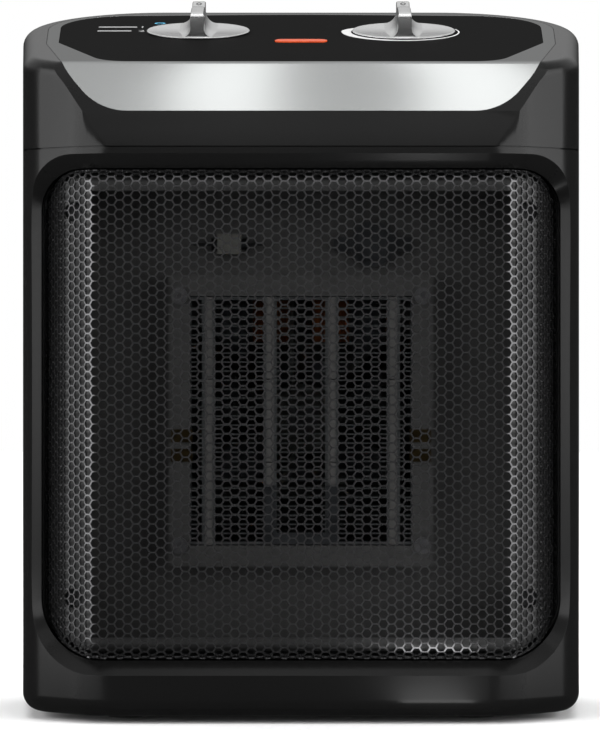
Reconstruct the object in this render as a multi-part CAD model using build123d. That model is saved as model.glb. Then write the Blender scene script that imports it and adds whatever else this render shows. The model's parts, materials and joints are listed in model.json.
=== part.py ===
from build123d import *
import os
from math import cos, radians, sin, sqrt, tan

# Compact ceramic fan heater. Millimetres, +Z up, the front faces -Y.
# The origin lies on the floor under the middle of the casing.

# ---------------------------------------------------------------- driving dimensions
casing_depth = 130.0            # front face to back face
floor_gap = 2.0                 # the casing's underside above the floor
seam_height = 187.4             # joint between lower casing and hood
wall = 2.6                      # casing wall

# footprint of the casing
shoulder_half_width = 69.5      # where the flat front turns into the corner facet
corner_half_width = 91.8        # where the facet meets the side
corner_depth = 21.5             # how far behind the front that is
rear_half_width = 98.7          # sides spread a little toward the back
front_corner_radius = 22.0
rear_corner_radius = 48.0
bottom_corner_radius = 6.0      # lower side edges, seen from the front
split_depth = 72.0              # front housing ends, rear housing starts

# hood and control panel
hood_lean_radius = 42.0         # the hood's front leans back on this arc
hood_lean_drop = 3.0            # the arc's middle below the seam
panel_start_depth = 14.6        # front crease of the panel
panel_slope_deg = 12.9
hood_edge_radius = 5.0          # round the top's edges
seam_groove_height = 0.5        # the dark line between hood and casing
seam_groove_deep = 1.2

# trim ring and panel, measured from above and in front at 45 degrees
trim_base_drop = 69.2           # the measuring line below the seam
trim_front_half = 66.0
trim_front_rise = 59.4
trim_front_radius = 18.0
trim_slope_half = 77.8
trim_slope_rise = 75.2
trim_slope_radius = 36.0
trim_side_edge = 6.0            # the ring's side corner from the casing's corner
trim_side_rise = 112.5
trim_side_radius = 5.0
trim_rear_edge = 3.4            # the ring's rear corner from the casing's corner
trim_rear_corner = 12.0         # its distance from the back
trim_rear_corner_radius = 30.0
trim_rear_middle = 7.4          # the ring's rear edge, from the back
trim_rear_radius = 500.0        # which bows gently
panel_front_half = 65.0
panel_front_rise = 80.3
panel_front_radius = 12.0
panel_side_edge = 9.9
panel_side_rise = 114.5
panel_side_radius = 4.0
panel_rear_edge = 7.8
panel_rear_corner = 15.0
panel_rear_corner_radius = 24.0
panel_rear_middle = 10.3
inlay_depth = 1.6               # thickness of the trim ring and of the panel
inlay_gap = 0.15                # all round the trim ring and the panel
inlay_floor = 2.2               # hood wall left under them

# outlet grille: a formed sheet tray with two facets at each side
grille_flat_half_width = 68.7
grille_facet_half_width = 78.0
grille_half_width = 85.2
grille_front_gap = 1.5          # behind the casing's front
grille_facet_depth = 11.5
grille_rim_depth = 28.0
grille_low = 20.6
grille_top_drop = 7.0           # the grille ends this far below the seam
grille_low_radius = 19.0
grille_high_radius = 13.0
grille_bend_radius = 4.0
grille_edge_radius = 5.0        # top and bottom front edges of the tray
grille_sheet = 0.6
window_columns = 12             # the sheet's openings, a plain coarse grid
window_rows = 11
window_rib = 2.4
window_border = 3.0             # left inside the outline
window_top_border = 6.0         # left above and below
grille_gap = 0.4                # between the tray and the casing's opening
bezel_bevel = 4.6               # slope round the opening
lip_depth = 28.0                # the casing is solid round the opening to here
chin_top = 12.6                 # roof of the hollow below the opening
frame_sheet = 2.0               # flange frame behind the grille
frame_rim = 2.0                 # its rim reaches this far past the tray
frame_border = 7.0              # its top and bottom bars
frame_seat = 19.0               # depth of the screw heads' seats
frame_post_depth = 22.0         # its bosses meet the duct's posts
frame_post_diameter = 8.0
frame_gap = 2.6                 # behind the grille facets
screw_hole_x = 74.3
screw_hole_rise = 19.5          # lower screws above its bottom
screw_hole_drop = 13.6          # upper screws below the grille's top

# knobs
knob_spacing = 70.6
knob_depth = 78.5
knob_diameter = 35.3
knob_disc = 0.8                 # its thin disc lies all but flush
knob_lift = 0.2                 # running gap over the panel
knob_edge_radius = 0.3
fin_height = 8.9                # above the panel
fin_width = 4.6
fin_length = 32.5
fin_flare_radius = 4.5
dot_diameter = 2.0
shaft_diameter = 6.0
running_clearance = 0.06        # radial, shafts in their bushings
hub_diameter = 9.2
hub_length = 2.4                # reaches down through the panel
shaft_grip = 1.9                # the shaft ends this far over the panel plane, in the fin's flared foot
panel_hole_diameter = 10.4
dot_thick = 0.5
dot_v = 13.4                    # the dot sits at the fin's rear end

# controls under the hood
inlay_back_gap = 0.1
bracket_stand = 4.0             # bracket below the hood's underside
bracket_sheet = 1.2
bracket_length = 118.0
bracket_width = 40.0
bracket_screw_u = 54.0
bracket_screw_v = (-15.0, 15.0)
bracket_post_diameter = 7.0
bushing_diameter = 9.0
nut_height = 2.2
nut_width = 13.0
control_wide = 30.0
mode_switch_length = 26.0
thermostat_length = 22.0
control_tall = 14.0
strap_width = 7.2               # contact straps on the heater's sides
strap_height = 4.2
strap_foot = 3.0
strap_edge = 0.7                # from the heater's side
strap_drops = (5.0, 11.5)       # below the axis
tab_width = 6.3
tab_sheet = 0.8
lamp_length = 13.0
lamp_diameter = 5.0

# pilot light
lens_length = 17.8
lens_width = 5.6
lens_depth = 58.0
lens_stand = 0.4                # stands above the panel

# heater unit
heater_height = 98.0            # axis of heater and fan above the floor
heater_width = 88.0
heater_tall = 97.0
heater_front = 32.0
heater_thick = 14.0
heater_border = 7.0
heater_screw_rise = 41.5        # corner screws above and below the axis
bar_count = 4
bar_width = 3.6
bar_pitch = 20.5
tablet_thick = 2.4
tablet_count = 3
fin_pitch = 3.0
fin_sheet = 0.5
bridge_width = 3.6
bridge_height = 20.0

# duct and fan
baffle_gap = 1.0                # behind the heater
baffle_sheet = 2.4
baffle_half_width = 84.0
duct_wall = 2.0
fan_plate_gap = 8.0             # fan plate in front of the impeller
tube_reach = 59.5               # the fan plate's radius covers the square duct's corners
mount_boss_diameter = 8.0
clip_sheet = 0.8
shroud_bore = 94.0
shroud_wall = 2.0
shroud_behind_fan = 18.0        # the shroud ends this far behind the impeller's front
fan_diameter = 88.0
fan_hub_diameter = 24.0
fan_hub_length = 13.0
blade_count = 7
blade_pitch_deg = 26.0
blade_sheet = 1.4
blade_chord = 30.0

# motor
motor_shaft_diameter = 4.0
motor_room = 43.0               # motor's front from the casing's back
mount_sheet = 4.0               # its spider
plate_sheet = 1.5
bearing_stand = 3.5
stator_thick = 16.0
stator_width = 56.0
stator_bore = 27.6
rotor_gap = 0.4
bush_diameter = 9.0
hub_reach = 4.6
bracket_strip = 12.0
stator_low = 22.0
stator_high = 40.0
window_low = 19.0
window_high = 31.0
window_half = 18.0
winding = 4.5
bobbin_gap = 0.15
bobbin_wall = 0.8
motor_screw_spacing = 44.0
motor_screw_diameter = 3.5

# rear
intake_width = 88.0
intake_low = 36.5
intake_top_drop = 30.9          # below the seam
intake_border = 8.0
slat_pitch = 8.0
slat_sheet = 1.8
slat_slope = 7.6               # a slat rises by this from its outer to its inner edge
slat_deep = 7.4
slat_lap = 0.7                  # the lowest slat starts behind the frame
handle_width = 92.0
handle_height = 22.0
handle_deep = 26.0
handle_rise = 7.1               # above the seam
foot_diameter = 13.0
base_width = 140.0
base_depth = 92.0
base_corner_radius = 10.0
base_sheet = 2.0
base_flange = 4.0
foot_x = 58.0
foot_y = 36.0
foot_stem_diameter = 6.0
handle_wall = 2.2
handle_corner_radius = 6.0
intake_corner_radius = 12.0
intake_flange = 3.0
cord_x = 36.0
cord_z = 20.0
cord_hole_diameter = 11.0
cord_bore = 7.0
fit_gap = 0.3

# electrical small parts
terminal_x = 36.0
terminal_room = 33.0            # from the casing's back
terminal_deep = 12.0
terminal_tall = 11.0
terminal_bore = 4.4
terminal_screw = 3.6
terminal_length = 24.0
cutout_x = 24.0
cutout_rise = 10.5              # above the heater frame
cutout_diameter = 15.0
cutout_cap_diameter = 11.0
fuse_diameter = 4.0
fuse_length = 12.0
fuse_wire_length = 24.0
fuse_wire = 1.0
lead_diameter = 2.4
lead_x = 72.0
lead_room = 37.0                # upright runs from the casing's back

# fasteners
case_screw_diameter = 3.0
case_boss_diameter = 7.2
screw_head_diameter = 5.6
screw_head_height = 2.0

small_screw_diameter = 2.6
screw_grip = 12.0               # length of a screw in what it holds
heater_post_diameter = 6.0
heater_post_length = 5.0        # behind the baffle
screw_gap = 0.1
case_low_x = 84.5
case_low_z = 14.5
case_high_x = 86.0
case_screw_recess = 30.0        # the heads sit deep in the rounded rear corners
case_high_drop = 5.8            # below the seam
hood_post_front_x = 87.0
hood_post_front = 40.0
hood_post_rear_x = 52.0
hood_post_rear_room = 6.4       # from the casing's back
hood_post_diameter = 8.0
duct_screw_x = 60.0
duct_screw_low = 16.6
duct_screw_drop = 3.3           # below the seam
duct_post_diameter = 6.0

# ---------------------------------------------------------------- derived places
front = -casing_depth / 2
back = casing_depth / 2
panel_slope = tan(radians(panel_slope_deg))
lean_centre_height = seam_height - hood_lean_drop
crease_height = lean_centre_height + sqrt(
    hood_lean_radius**2 - (hood_lean_radius - panel_start_depth) ** 2
)
far = 3 * seam_height           # reaches past everything
heater_rear = heater_front + heater_thick
heater_middle = heater_front + heater_thick / 2
baffle_depth = heater_rear + baffle_gap
heater_screw_tip = baffle_depth + baffle_sheet + heater_post_length - 1
motor_front = casing_depth - motor_room
shroud_end = motor_front - mount_sheet
fan_front = shroud_end - shroud_behind_fan
fan_plate_depth = fan_front - fan_plate_gap
terminal_depth = casing_depth - terminal_room
lead_depth = casing_depth - lead_room
hood_post_rear = casing_depth - hood_post_rear_room
grille_high = seam_height - grille_top_drop
screw_hole_high = grille_high - screw_hole_drop
screw_hole_low = grille_low + screw_hole_rise
intake_height = seam_height - intake_top_drop - intake_low
intake_middle = intake_low + intake_height / 2
handle_low = seam_height + handle_rise
cutout_z = heater_height + heater_tall / 2 + cutout_rise
case_high_z = seam_height - case_high_drop
duct_screw_high = seam_height - duct_screw_drop


def at_depth(depth):
    """Y of a place that lies this far behind the casing's front."""
    return front + depth


def panel_height(depth):
    """Height of the panel plane that far behind the front."""
    return crease_height + (depth - panel_start_depth) * panel_slope


panel_plane = Plane(
    origin=(0, at_depth(knob_depth), panel_height(knob_depth)),
    x_dir=(1, 0, 0),
    z_dir=(0, -sin(radians(panel_slope_deg)), cos(radians(panel_slope_deg))),
)
trim_plane = Plane(
    origin=(0, front, seam_height - trim_base_drop),
    x_dir=(1, 0, 0),
    z_dir=(0, -sin(radians(45)), cos(radians(45))),
)
mount_screw_places = [heater_height + sz * (shroud_bore / 2 + shroud_wall + 2.5) for sz in (-1, 1)]


# ---------------------------------------------------------------- small helpers
def block(x0, x1, y0, y1, z0, z1):
    return Pos((x0 + x1) / 2, (y0 + y1) / 2, (z0 + z1) / 2) * Box(x1 - x0, y1 - y0, z1 - z0)


def rod(x, z, depth0, depth1, diameter):
    """Round bar along Y between two depths behind the front."""
    plane = Plane(origin=(x, at_depth(depth0), z), x_dir=(1, 0, 0), z_dir=(0, 1, 0))
    return extrude(plane * Circle(diameter / 2), depth1 - depth0)


def post(x, y, z0, z1, diameter):
    return extrude(Plane(origin=(x, y, z0)) * Circle(diameter / 2), z1 - z0)


def mirrored(points):
    """Close a half outline, listed on +X from the middle, by its mirror image."""
    return points + [(-x, y) for x, y in reversed(points) if x > 1e-6]


def rounded(points, radii):
    """Polygon with a fillet of its own at each listed corner of +X and at its mirror."""
    face = make_face(Polyline(*mirrored(points), close=True))
    for (x, y), radius in radii:
        corners = [v for v in face.vertices() if abs(abs(v.X) - x) < 1e-3 and abs(v.Y - y) < 1e-3]
        face = fillet(corners, radius)
    return face


def save(name, *solids):
    if len(solids) == 1:
        shape = solids[0]
    else:
        shape = Compound(children=list(solids))
    export_step(shape, f"parts/{name}.step")


# ---------------------------------------------------------------- casing
def footprint(inset=0.0):
    """Outline of the casing from above, moved inward by inset."""
    shoulder = (shoulder_half_width, front)
    corner = (corner_half_width, at_depth(corner_depth))
    rear = (rear_half_width, back)
    face = rounded(
        [(0, front), shoulder, corner, rear, (0, back)],
        [(shoulder, front_corner_radius), (corner, front_corner_radius), (rear, rear_corner_radius)],
    )
    if inset:
        face = offset(face, -inset)
    return face


def lower_body(inset=0.0):
    """Lower casing as a solid, moved inward by inset at the sides and the bottom."""
    low = floor_gap + inset
    prism = extrude(Pos(0, 0, low) * footprint(inset), seam_height - low)
    return fillet(prism.faces().sort_by(Axis.Z)[0].edges(), bottom_corner_radius - inset)


def hood_body(side_inset=0.0, top_inset=0.0):
    """Hood as a solid, moved inward at the sides and under its leaning front and its top."""
    prism = extrude(Pos(0, 0, seam_height) * footprint(side_inset), far)
    centre_y = at_depth(hood_lean_radius)
    arc = Pos(centre_y, lean_centre_height) * Circle(hood_lean_radius - top_inset)
    lean = extrude(Plane.YZ.offset(-far / 2) * arc, far)
    behind = block(-far / 2, far / 2, centre_y, back + far, seam_height - far, seam_height + far)
    under = extrude(panel_plane.offset(-top_inset) * Rectangle(far, far), -far)
    return prism & (lean + behind) & under


def outer_hood():
    body = hood_body()
    top = body.faces().sort_by(Axis.Z)[-1]
    return fillet(top.edges(), hood_edge_radius)


# ---------------------------------------------------------------- grille outlines
def opening(grow=0.0):
    """Front outline of the grille tray, grown by a clearance, in XZ."""
    half = grille_half_width + grow
    low = grille_low - grow
    high = grille_high + grow
    return rounded(
        [(0, low), (half, low), (half, high), (0, high)],
        [((half, low), grille_low_radius + grow), ((half, high), grille_high_radius + grow)],
    )


def front_prism(face, depth0, depth1):
    """An XZ outline as a prism between two depths behind the front."""
    plane = Plane(origin=(0, at_depth(depth0), 0), x_dir=(1, 0, 0), z_dir=(0, -1, 0))
    return extrude(plane * face, -(depth1 - depth0))


def facet_prism(behind, z0, z1, depth_end):
    """Everything behind the faceted front of the grille, from above, as a prism along Z."""
    flat = (grille_flat_half_width, at_depth(grille_front_gap + behind))
    facet = (grille_facet_half_width, at_depth(grille_facet_depth + behind))
    edge = (grille_half_width, at_depth(grille_rim_depth - 0.4 + behind))
    wide = (grille_half_width + 20, at_depth(grille_rim_depth + behind))
    end = (grille_half_width + 20, at_depth(depth_end))
    face = rounded(
        [(0, flat[1]), flat, facet, edge, wide, end, (0, end[1])],
        [(flat, grille_bend_radius), (facet, grille_bend_radius)],
    )
    return extrude(Pos(0, 0, z0) * face, z1 - z0)


def tray_block(inset):
    """The grille tray filled in, moved inward by inset."""
    low = grille_low + inset
    high = grille_high - inset
    near = at_depth(grille_front_gap + inset)
    rim = at_depth(grille_rim_depth)
    radius = grille_edge_radius - inset
    side = make_face(Polyline((rim, low), (near, low), (near, high), (rim, high), close=True))
    side = fillet([v for v in side.vertices() if v.X < rim - 1], radius)
    rolled = extrude(Plane.YZ.offset(-far / 2) * side, far)
    facets = facet_prism(inset, 0, seam_height, grille_rim_depth + 5)
    return front_prism(opening(-inset), 0, grille_rim_depth) & facets & rolled


# ---------------------------------------------------------------- trim outlines, seen at 45 degrees
def rise(from_back):
    """How far up the trim's measuring plane a place on the panel lies, by its distance from the back."""
    depth = casing_depth - from_back
    return (depth + panel_height(depth) - seam_height + trim_base_drop) * sin(radians(45))


def panel_outline(grow=0.0):
    """Inner edge of the trim ring."""
    corner = (panel_front_half, panel_front_rise)
    side = (corner_half_width - panel_side_edge, panel_side_rise)
    rear = (corner_half_width - panel_rear_edge, rise(panel_rear_corner))
    middle = (0.0, rise(panel_rear_middle))
    radii = [(corner, panel_front_radius), (side, panel_side_radius), (rear, panel_rear_corner_radius),
             (middle, trim_rear_radius)]
    shape = rounded([(0, corner[1]), corner, side, rear, middle], radii)
    return offset(shape, grow) if grow else shape


def trim_outline(grow=0.0):
    """Outer edge of the trim ring."""
    corner = (trim_front_half, trim_front_rise)
    slope = (trim_slope_half, trim_slope_rise)
    side = (corner_half_width - trim_side_edge, trim_side_rise)
    rear = (corner_half_width - trim_rear_edge, rise(trim_rear_corner))
    middle = (0.0, rise(trim_rear_middle))
    radii = [(corner, trim_front_radius), (slope, trim_slope_radius), (side, trim_side_radius),
             (rear, trim_rear_corner_radius), (middle, trim_rear_radius)]
    shape = rounded([(0, corner[1]), corner, slope, side, rear, middle], radii)
    return offset(shape, grow) if grow else shape


def trim_prism(face):
    """A trim outline as a prism that starts just under the panel's rear edge, clear of the side walls."""
    depth = casing_depth - trim_rear_middle
    start = (panel_height(depth) - depth - seam_height + trim_base_drop) * sin(radians(45))
    prism = extrude(trim_plane.offset(start - 2 * inlay_depth) * face, far / 2)
    below = extrude(panel_plane.offset(-3 * inlay_depth) * Rectangle(far, far), -far)
    return prism - (below & block(-far, far, 0, far, -far, far))


# ---------------------------------------------------------------- casing pieces
def bevel_opening(body):
    """Cut the grille opening through a body and slope its front edge."""
    hole = front_prism(opening(grille_gap), -5, lip_depth + 1)
    cut = body - hole
    rim = []
    for edge in cut.edges():
        middle = edge @ 0.5
        on_wall = hole.faces().sort_by_distance(middle)[0].distance_to(middle) < 1e-3
        if on_wall and middle.Y < at_depth(lip_depth - 2) and abs((edge % 0.5).Y) < 0.999:
            rim.append(edge)
    return chamfer(rim, bezel_bevel)


def side_places(x, *heights):
    return [(side * x, z) for z in heights for side in (-1, 1)]


case_screw_places = [(sx * x, z) for x, z in ((case_low_x, case_low_z), (case_high_x, case_high_z))
                     for sx in (-1, 1)]
hood_screw_places = [(sx * x, at_depth(depth)) for x, depth in
                     ((hood_post_front_x, hood_post_front), (hood_post_rear_x, hood_post_rear))
                     for sx in (-1, 1)]
duct_screw_places = side_places(duct_screw_x, duct_screw_low, duct_screw_high)
foot_places = [(sx * foot_x, sy * foot_y) for sx in (-1, 1) for sy in (-1, 1)]
case_screw_tip = split_depth - 14.0
case_screw_seat = casing_depth - case_screw_recess
hood_post_low = seam_height - 14.0
hood_post_high = seam_height + 16.0
floor_top = floor_gap + wall
base_top = floor_top + base_sheet


def base_hole(grow=0.0):
    return RectangleRounded(base_width + 2 * grow, base_depth + 2 * grow, base_corner_radius + grow)


def casing_hollow():
    body = lower_body(wall) + extrude(Pos(0, 0, seam_height - 1) * footprint(wall), 2)
    behind_lip = body & block(-far, far, at_depth(lip_depth), far, 0, far)
    chin = body & block(-far, far, front, at_depth(lip_depth) + 1, 0, chin_top)
    return behind_lip + chin


def lower_half(depth0, depth1):
    """Stretch of the lower casing between two depths, as a shell with its screw posts."""
    span = block(-far, far, at_depth(depth0), at_depth(depth1), 0, far)
    body = lower_body() & span
    if depth0 <= 0:
        body = bevel_opening(body)
    body -= casing_hollow()
    inside = lower_body(wall / 2) + extrude(Pos(0, 0, seam_height - 1) * footprint(wall / 2), 1)
    start = max(depth0, lip_depth - 1)
    for x, z in case_screw_places:
        body += rod(x, z, start, min(depth1, casing_depth - wall / 2), case_boss_diameter) & inside
    for x, y in hood_screw_places:
        if at_depth(depth0) < y < at_depth(depth1):
            body += post(x, y, hood_post_low, seam_height, hood_post_diameter) & inside
    if depth0 <= 0:
        for x, z in duct_screw_places:
            body += rod(x, z, lip_depth - 1, baffle_depth, duct_post_diameter)
    for x, z in case_screw_places:
        body -= rod(x, z, case_screw_tip - 1, casing_depth, case_screw_diameter + 2 * screw_gap)
        body -= rod(x, z, case_screw_seat, casing_depth + 5, screw_head_diameter + 0.8)
    for x, y in hood_screw_places:
        body -= post(x, y, hood_post_low - 1, seam_height + 1, case_screw_diameter + 2 * screw_gap)
    if depth0 <= 0:
        for x, z in duct_screw_places:
            body -= rod(x, z, baffle_depth - 12, baffle_depth + 1, case_screw_diameter + 2 * screw_gap)
    body -= extrude(Pos(0, 0, 0) * base_hole(fit_gap), floor_top + 1)
    return body


def rear_half():
    body = lower_half(split_depth, casing_depth + 1)
    hole = RectangleRounded(intake_width, intake_height, intake_corner_radius)
    body -= front_prism(Pos(0, intake_middle) * hole, casing_depth - wall - 3, casing_depth + 2)
    return body - rod(cord_x, cord_z, casing_depth - wall - 3, casing_depth + 2, cord_hole_diameter)


def intake_grille():
    """Snap-in rear grille: a plug in the casing's opening on a wider flange, with sloping slats."""
    def frame(grow, depth0, depth1):
        outer = RectangleRounded(
            intake_width + 2 * grow, intake_height + 2 * grow, intake_corner_radius + grow
        )
        inner = RectangleRounded(
            intake_width - 2 * intake_border, intake_height - 2 * intake_border, intake_corner_radius
        )
        return front_prism(Pos(0, intake_middle) * (outer - inner), depth0, depth1)

    wall_inside = casing_depth - wall
    body = frame(-fit_gap, wall_inside, casing_depth - 0.4)
    body += frame(intake_flange, wall_inside - 2.0, wall_inside)
    clear = intake_height - 2 * intake_border
    half = intake_width / 2 - intake_border + 1
    count = int(clear // slat_pitch)
    outer = at_depth(casing_depth - 0.8)
    inner = outer - slat_deep
    for i in range(count):
        z = intake_middle + (i - count / 2) * slat_pitch - slat_lap
        louvre = make_face(
            Polyline((outer, z), (outer, z + slat_sheet), (inner, z + slat_sheet + slat_slope),
                     (inner, z + slat_slope), close=True)
        )
        body += extrude(Plane.YZ.offset(-half) * louvre, 2 * half)
    for x in (-intake_width / 6, intake_width / 6):
        body += block(x - 1.5, x + 1.5, inner + 0.4, outer - 0.4,
                      intake_middle - clear / 2 - 1, intake_middle + clear / 2 + 1)
    return body


def base_plate():
    plug = extrude(Pos(0, 0, floor_gap + 0.4) * base_hole(), floor_top - floor_gap - 0.4)
    flange = extrude(Pos(0, 0, floor_top) * base_hole(base_flange), base_sheet)
    body = plug + flange
    for x, y in foot_places:
        body -= post(x, y, 0, base_top + 1, foot_stem_diameter + 2 * fit_gap)
    return body


def feet():
    solids = []
    for x, y in foot_places:
        foot = post(x, y, 0, floor_gap + 0.4, foot_diameter)
        foot = chamfer(foot.faces().sort_by(Axis.Z)[0].edges(), 0.5)
        foot += post(x, y, 0.5, base_top, foot_stem_diameter)
        solids.append(foot + post(x, y, base_top, base_top + 1.2, foot_stem_diameter + 2.5))
    return solids


def screw(x, z, head_depth, tip_depth, diameter=None):
    """Screw along Y: its head's underside at head_depth, its tip at tip_depth."""
    size = diameter or case_screw_diameter
    way = 1 if head_depth > tip_depth else -1
    shank = rod(x, z, min(head_depth, tip_depth), max(head_depth, tip_depth), size)
    ends = sorted((head_depth, head_depth + way * screw_head_height))
    head = rod(x, z, ends[0], ends[1], screw_head_diameter)
    outside = head_depth + way * screw_head_height
    slot = rod(x, z, *sorted((outside - way * 1.0, outside)), 1.8)
    return shank + (head - slot)


# ---------------------------------------------------------------- hood pieces
def on_panel(u, v, w):
    """Place on the panel plane: u to the right, v up the slope, w along its normal."""
    return panel_plane * Pos(u, v, w)


def panel_post(u, v, w0, w1, diameter):
    return on_panel(u, v, w0) * extrude(Circle(diameter / 2), w1 - w0)


panel_under = -(inlay_depth + inlay_back_gap + inlay_floor)
bracket_top = panel_under - bracket_stand
bracket_under = bracket_top - bracket_sheet
lens_v = (lens_depth - knob_depth) / cos(radians(panel_slope_deg))
knob_places = [-knob_spacing / 2, knob_spacing / 2]
bracket_places = [(sx * bracket_screw_u, v) for sx in (-1, 1) for v in bracket_screw_v]


def handle_block(grow):
    deep = casing_depth - handle_deep - grow
    shape = block(-handle_width / 2 - grow, handle_width / 2 + grow, at_depth(deep), back + 5,
                  handle_low - grow, handle_low + handle_height + grow)
    return fillet(shape.edges().filter_by(Axis.Y), handle_corner_radius + grow)


def top_hood():
    outside = outer_hood()
    inlay = outside - hood_body(inlay_depth + inlay_back_gap, inlay_depth + inlay_back_gap)
    shell = outside - hood_body(wall, -panel_under)
    shell += outside & handle_block(handle_wall)
    for x, y in hood_screw_places:
        shell += post(x, y, seam_height, hood_post_high, hood_post_diameter) & hood_body(wall / 2, wall)
    for u, v in bracket_places:
        shell += panel_post(u, v, bracket_top, panel_under + 0.5, bracket_post_diameter)
    shell -= inlay & trim_prism(trim_outline(inlay_gap))
    shell -= handle_block(0)
    for x, y in hood_screw_places:
        shell -= post(x, y, seam_height - 1, hood_post_high - 3, case_screw_diameter + 2 * screw_gap)
    for u, v in bracket_places:
        shell -= panel_post(u, v, bracket_top - 1, panel_under - 0.4, small_screw_diameter + 2 * screw_gap)
    for u in knob_places:
        shell -= panel_post(u, 0, panel_under - 1, 1, panel_hole_diameter)
    groove = footprint() - footprint(seam_groove_deep)
    shell -= extrude(Pos(0, 0, seam_height) * groove, seam_groove_height)
    return shell - on_panel(0, lens_v, panel_under - 1) * extrude(lens_face(fit_gap), 10)


def lens_face(grow=0.0):
    return SlotOverall(lens_length + 2 * grow, lens_width + 2 * grow)


def inlay_shell():
    return outer_hood() - hood_body(inlay_depth, inlay_depth)


def trim_ring():
    return (inlay_shell() & trim_prism(trim_outline())) - trim_prism(panel_outline())


def control_panel():
    panel = inlay_shell() & trim_prism(panel_outline(-inlay_gap))
    for u in knob_places:
        panel -= panel_post(u, 0, -5, 5, panel_hole_diameter)
    return panel - on_panel(0, lens_v, -5) * extrude(lens_face(fit_gap), 10)


def pilot_lens():
    body = on_panel(0, lens_v, panel_under) * extrude(lens_face(), -panel_under + lens_stand)
    body += on_panel(0, lens_v, panel_under - 1.2) * extrude(lens_face(1.5), 1.2)
    top = body.faces().sort_by(Axis.Z)[-1]
    return fillet(top.edges(), 0.25)


def lamp_holder():
    top = panel_under - 1.2
    outer = on_panel(0, lens_v, top - 9.0) * extrude(Rectangle(lamp_length + 6, 9.0), 9.0)
    inner = on_panel(0, lens_v, top - 8.0) * extrude(Rectangle(lamp_length + 3, 6.6), 9.0)
    return outer - inner


def pilot_lamp():
    centre = panel_under - 1.2 - 8.0 + lamp_diameter / 2 + 0.05
    bulb = Rot(0, 90, 0) * Cylinder(lamp_diameter / 2, lamp_length)
    bulb = fillet(bulb.edges(), lamp_diameter / 2 - 0.3)
    return on_panel(0, lens_v, centre) * bulb


def knob():
    """Knob on the panel plane's origin: disc, grip fin with flares, hub with a blind bore."""
    disc = Pos(0, 0, knob_lift) * extrude(Circle(knob_diameter / 2), knob_disc - knob_lift)
    disc = fillet(disc.faces().sort_by(Axis.Z)[-1].edges(), knob_edge_radius)
    side = fin_width / 2
    flare = fin_flare_radius
    foot = side + flare
    profile = make_face(
        Polyline((foot, knob_lift), (foot, knob_disc), (side, knob_disc + flare), (side, fin_height),
                 (-side, fin_height), (-side, knob_disc + flare), (-foot, knob_disc),
                 (-foot, knob_lift), close=True)
    )
    for way in (-1, 1):
        centre = (way * foot, knob_disc + flare)
        profile -= Pos(*centre) * Circle(flare)
    fin = extrude(Plane.XZ.offset(-fin_length / 2) * profile, fin_length)
    rim = extrude(Circle(knob_diameter / 2 - 0.8), fin_height + 1)
    fin = fin & rim
    ridge = [e for e in fin.edges() if (e @ 0.5).Z > fin_height - 0.01]
    fin = fillet(ridge, 0.5)
    hub = Pos(0, 0, -hub_length) * extrude(Circle(hub_diameter / 2), hub_length + knob_lift)
    body = disc + fin + hub
    bore = Circle(shaft_diameter / 2 + 0.03)
    body -= Pos(0, 0, -hub_length - 1) * extrude(bore, hub_length + 1 + shaft_grip)
    return body - Pos(0, dot_v, fin_height - dot_thick) * extrude(Circle(dot_diameter / 2 + 0.02), 2)


def knob_dot():
    return Pos(0, dot_v, fin_height - dot_thick) * extrude(Circle(dot_diameter / 2), dot_thick + 0.05)


def control_shaft():
    return extrude(Pos(0, 0, control_low) * Circle(shaft_diameter / 2), shaft_grip - 0.2 - control_low)


control_low = bracket_under - 6.0
bushing_top = bracket_top + nut_height + 1.0


def control_body(width, length, height):
    """Switch or thermostat housing with its threaded bushing, under the bracket."""
    top = bracket_under
    case = extrude(Pos(0, 0, top - height) * RectangleRounded(width, length, 2.0), height)
    case += extrude(Pos(0, 0, top) * Circle(bushing_diameter / 2), bushing_top - top)
    bore = shaft_diameter / 2 + running_clearance
    case -= extrude(Pos(0, 0, control_low - 0.2) * Circle(bore), bushing_top - control_low + 1)
    tabs = []
    for x in (-width / 4, width / 4):
        tabs.append(Pos(x, 0, top - height - 4.0) * Box(tab_sheet, tab_width, 8.0))
    for tab in tabs:
        case += tab
    return case


def panel_nut():
    hexagon = RegularPolygon(nut_width / 2, 6, major_radius=False)
    nut = extrude(Pos(0, 0, bracket_top) * hexagon, nut_height)
    return nut - extrude(Pos(0, 0, bracket_top - 1) * Circle(bushing_diameter / 2 + 0.05), nut_height + 2)


def control_bracket():
    plate = extrude(
        Pos(0, 0, bracket_under) * RectangleRounded(bracket_length, bracket_width, 3.0), bracket_sheet
    )
    for u in knob_places:
        plate -= extrude(Pos(u, 0, bracket_under - 1) * Circle(bushing_diameter / 2 + 0.2), 5)
    for u, v in bracket_places:
        plate -= extrude(Pos(u, v, bracket_under - 1) * Circle(small_screw_diameter / 2 + 0.2), 5)
    plate -= Pos(0, lens_v, bracket_under) * Box(lamp_length + 9, 11.0, 8.0)
    return panel_plane * plate


def bracket_screws():
    solids = []
    for u, v in bracket_places:
        shank = panel_post(u, v, bracket_under, panel_under - 0.9, small_screw_diameter)
        head = panel_post(u, v, bracket_under - 1.6, bracket_under, small_screw_diameter + 2)
        solids.append(shank + head)
    return solids


# ---------------------------------------------------------------- grille frame
def grille_windows():
    """Outlines of the openings, about the middle of the sheet."""
    pitch_x = 2 * (grille_half_width - window_border) / window_columns
    pitch_z = (grille_high - grille_low - 2 * window_top_border) / window_rows
    cells = GridLocations(pitch_x, pitch_z, window_columns, window_rows) * Rectangle(
        pitch_x - window_rib, pitch_z - window_rib
    )
    return Sketch() + cells


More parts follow.
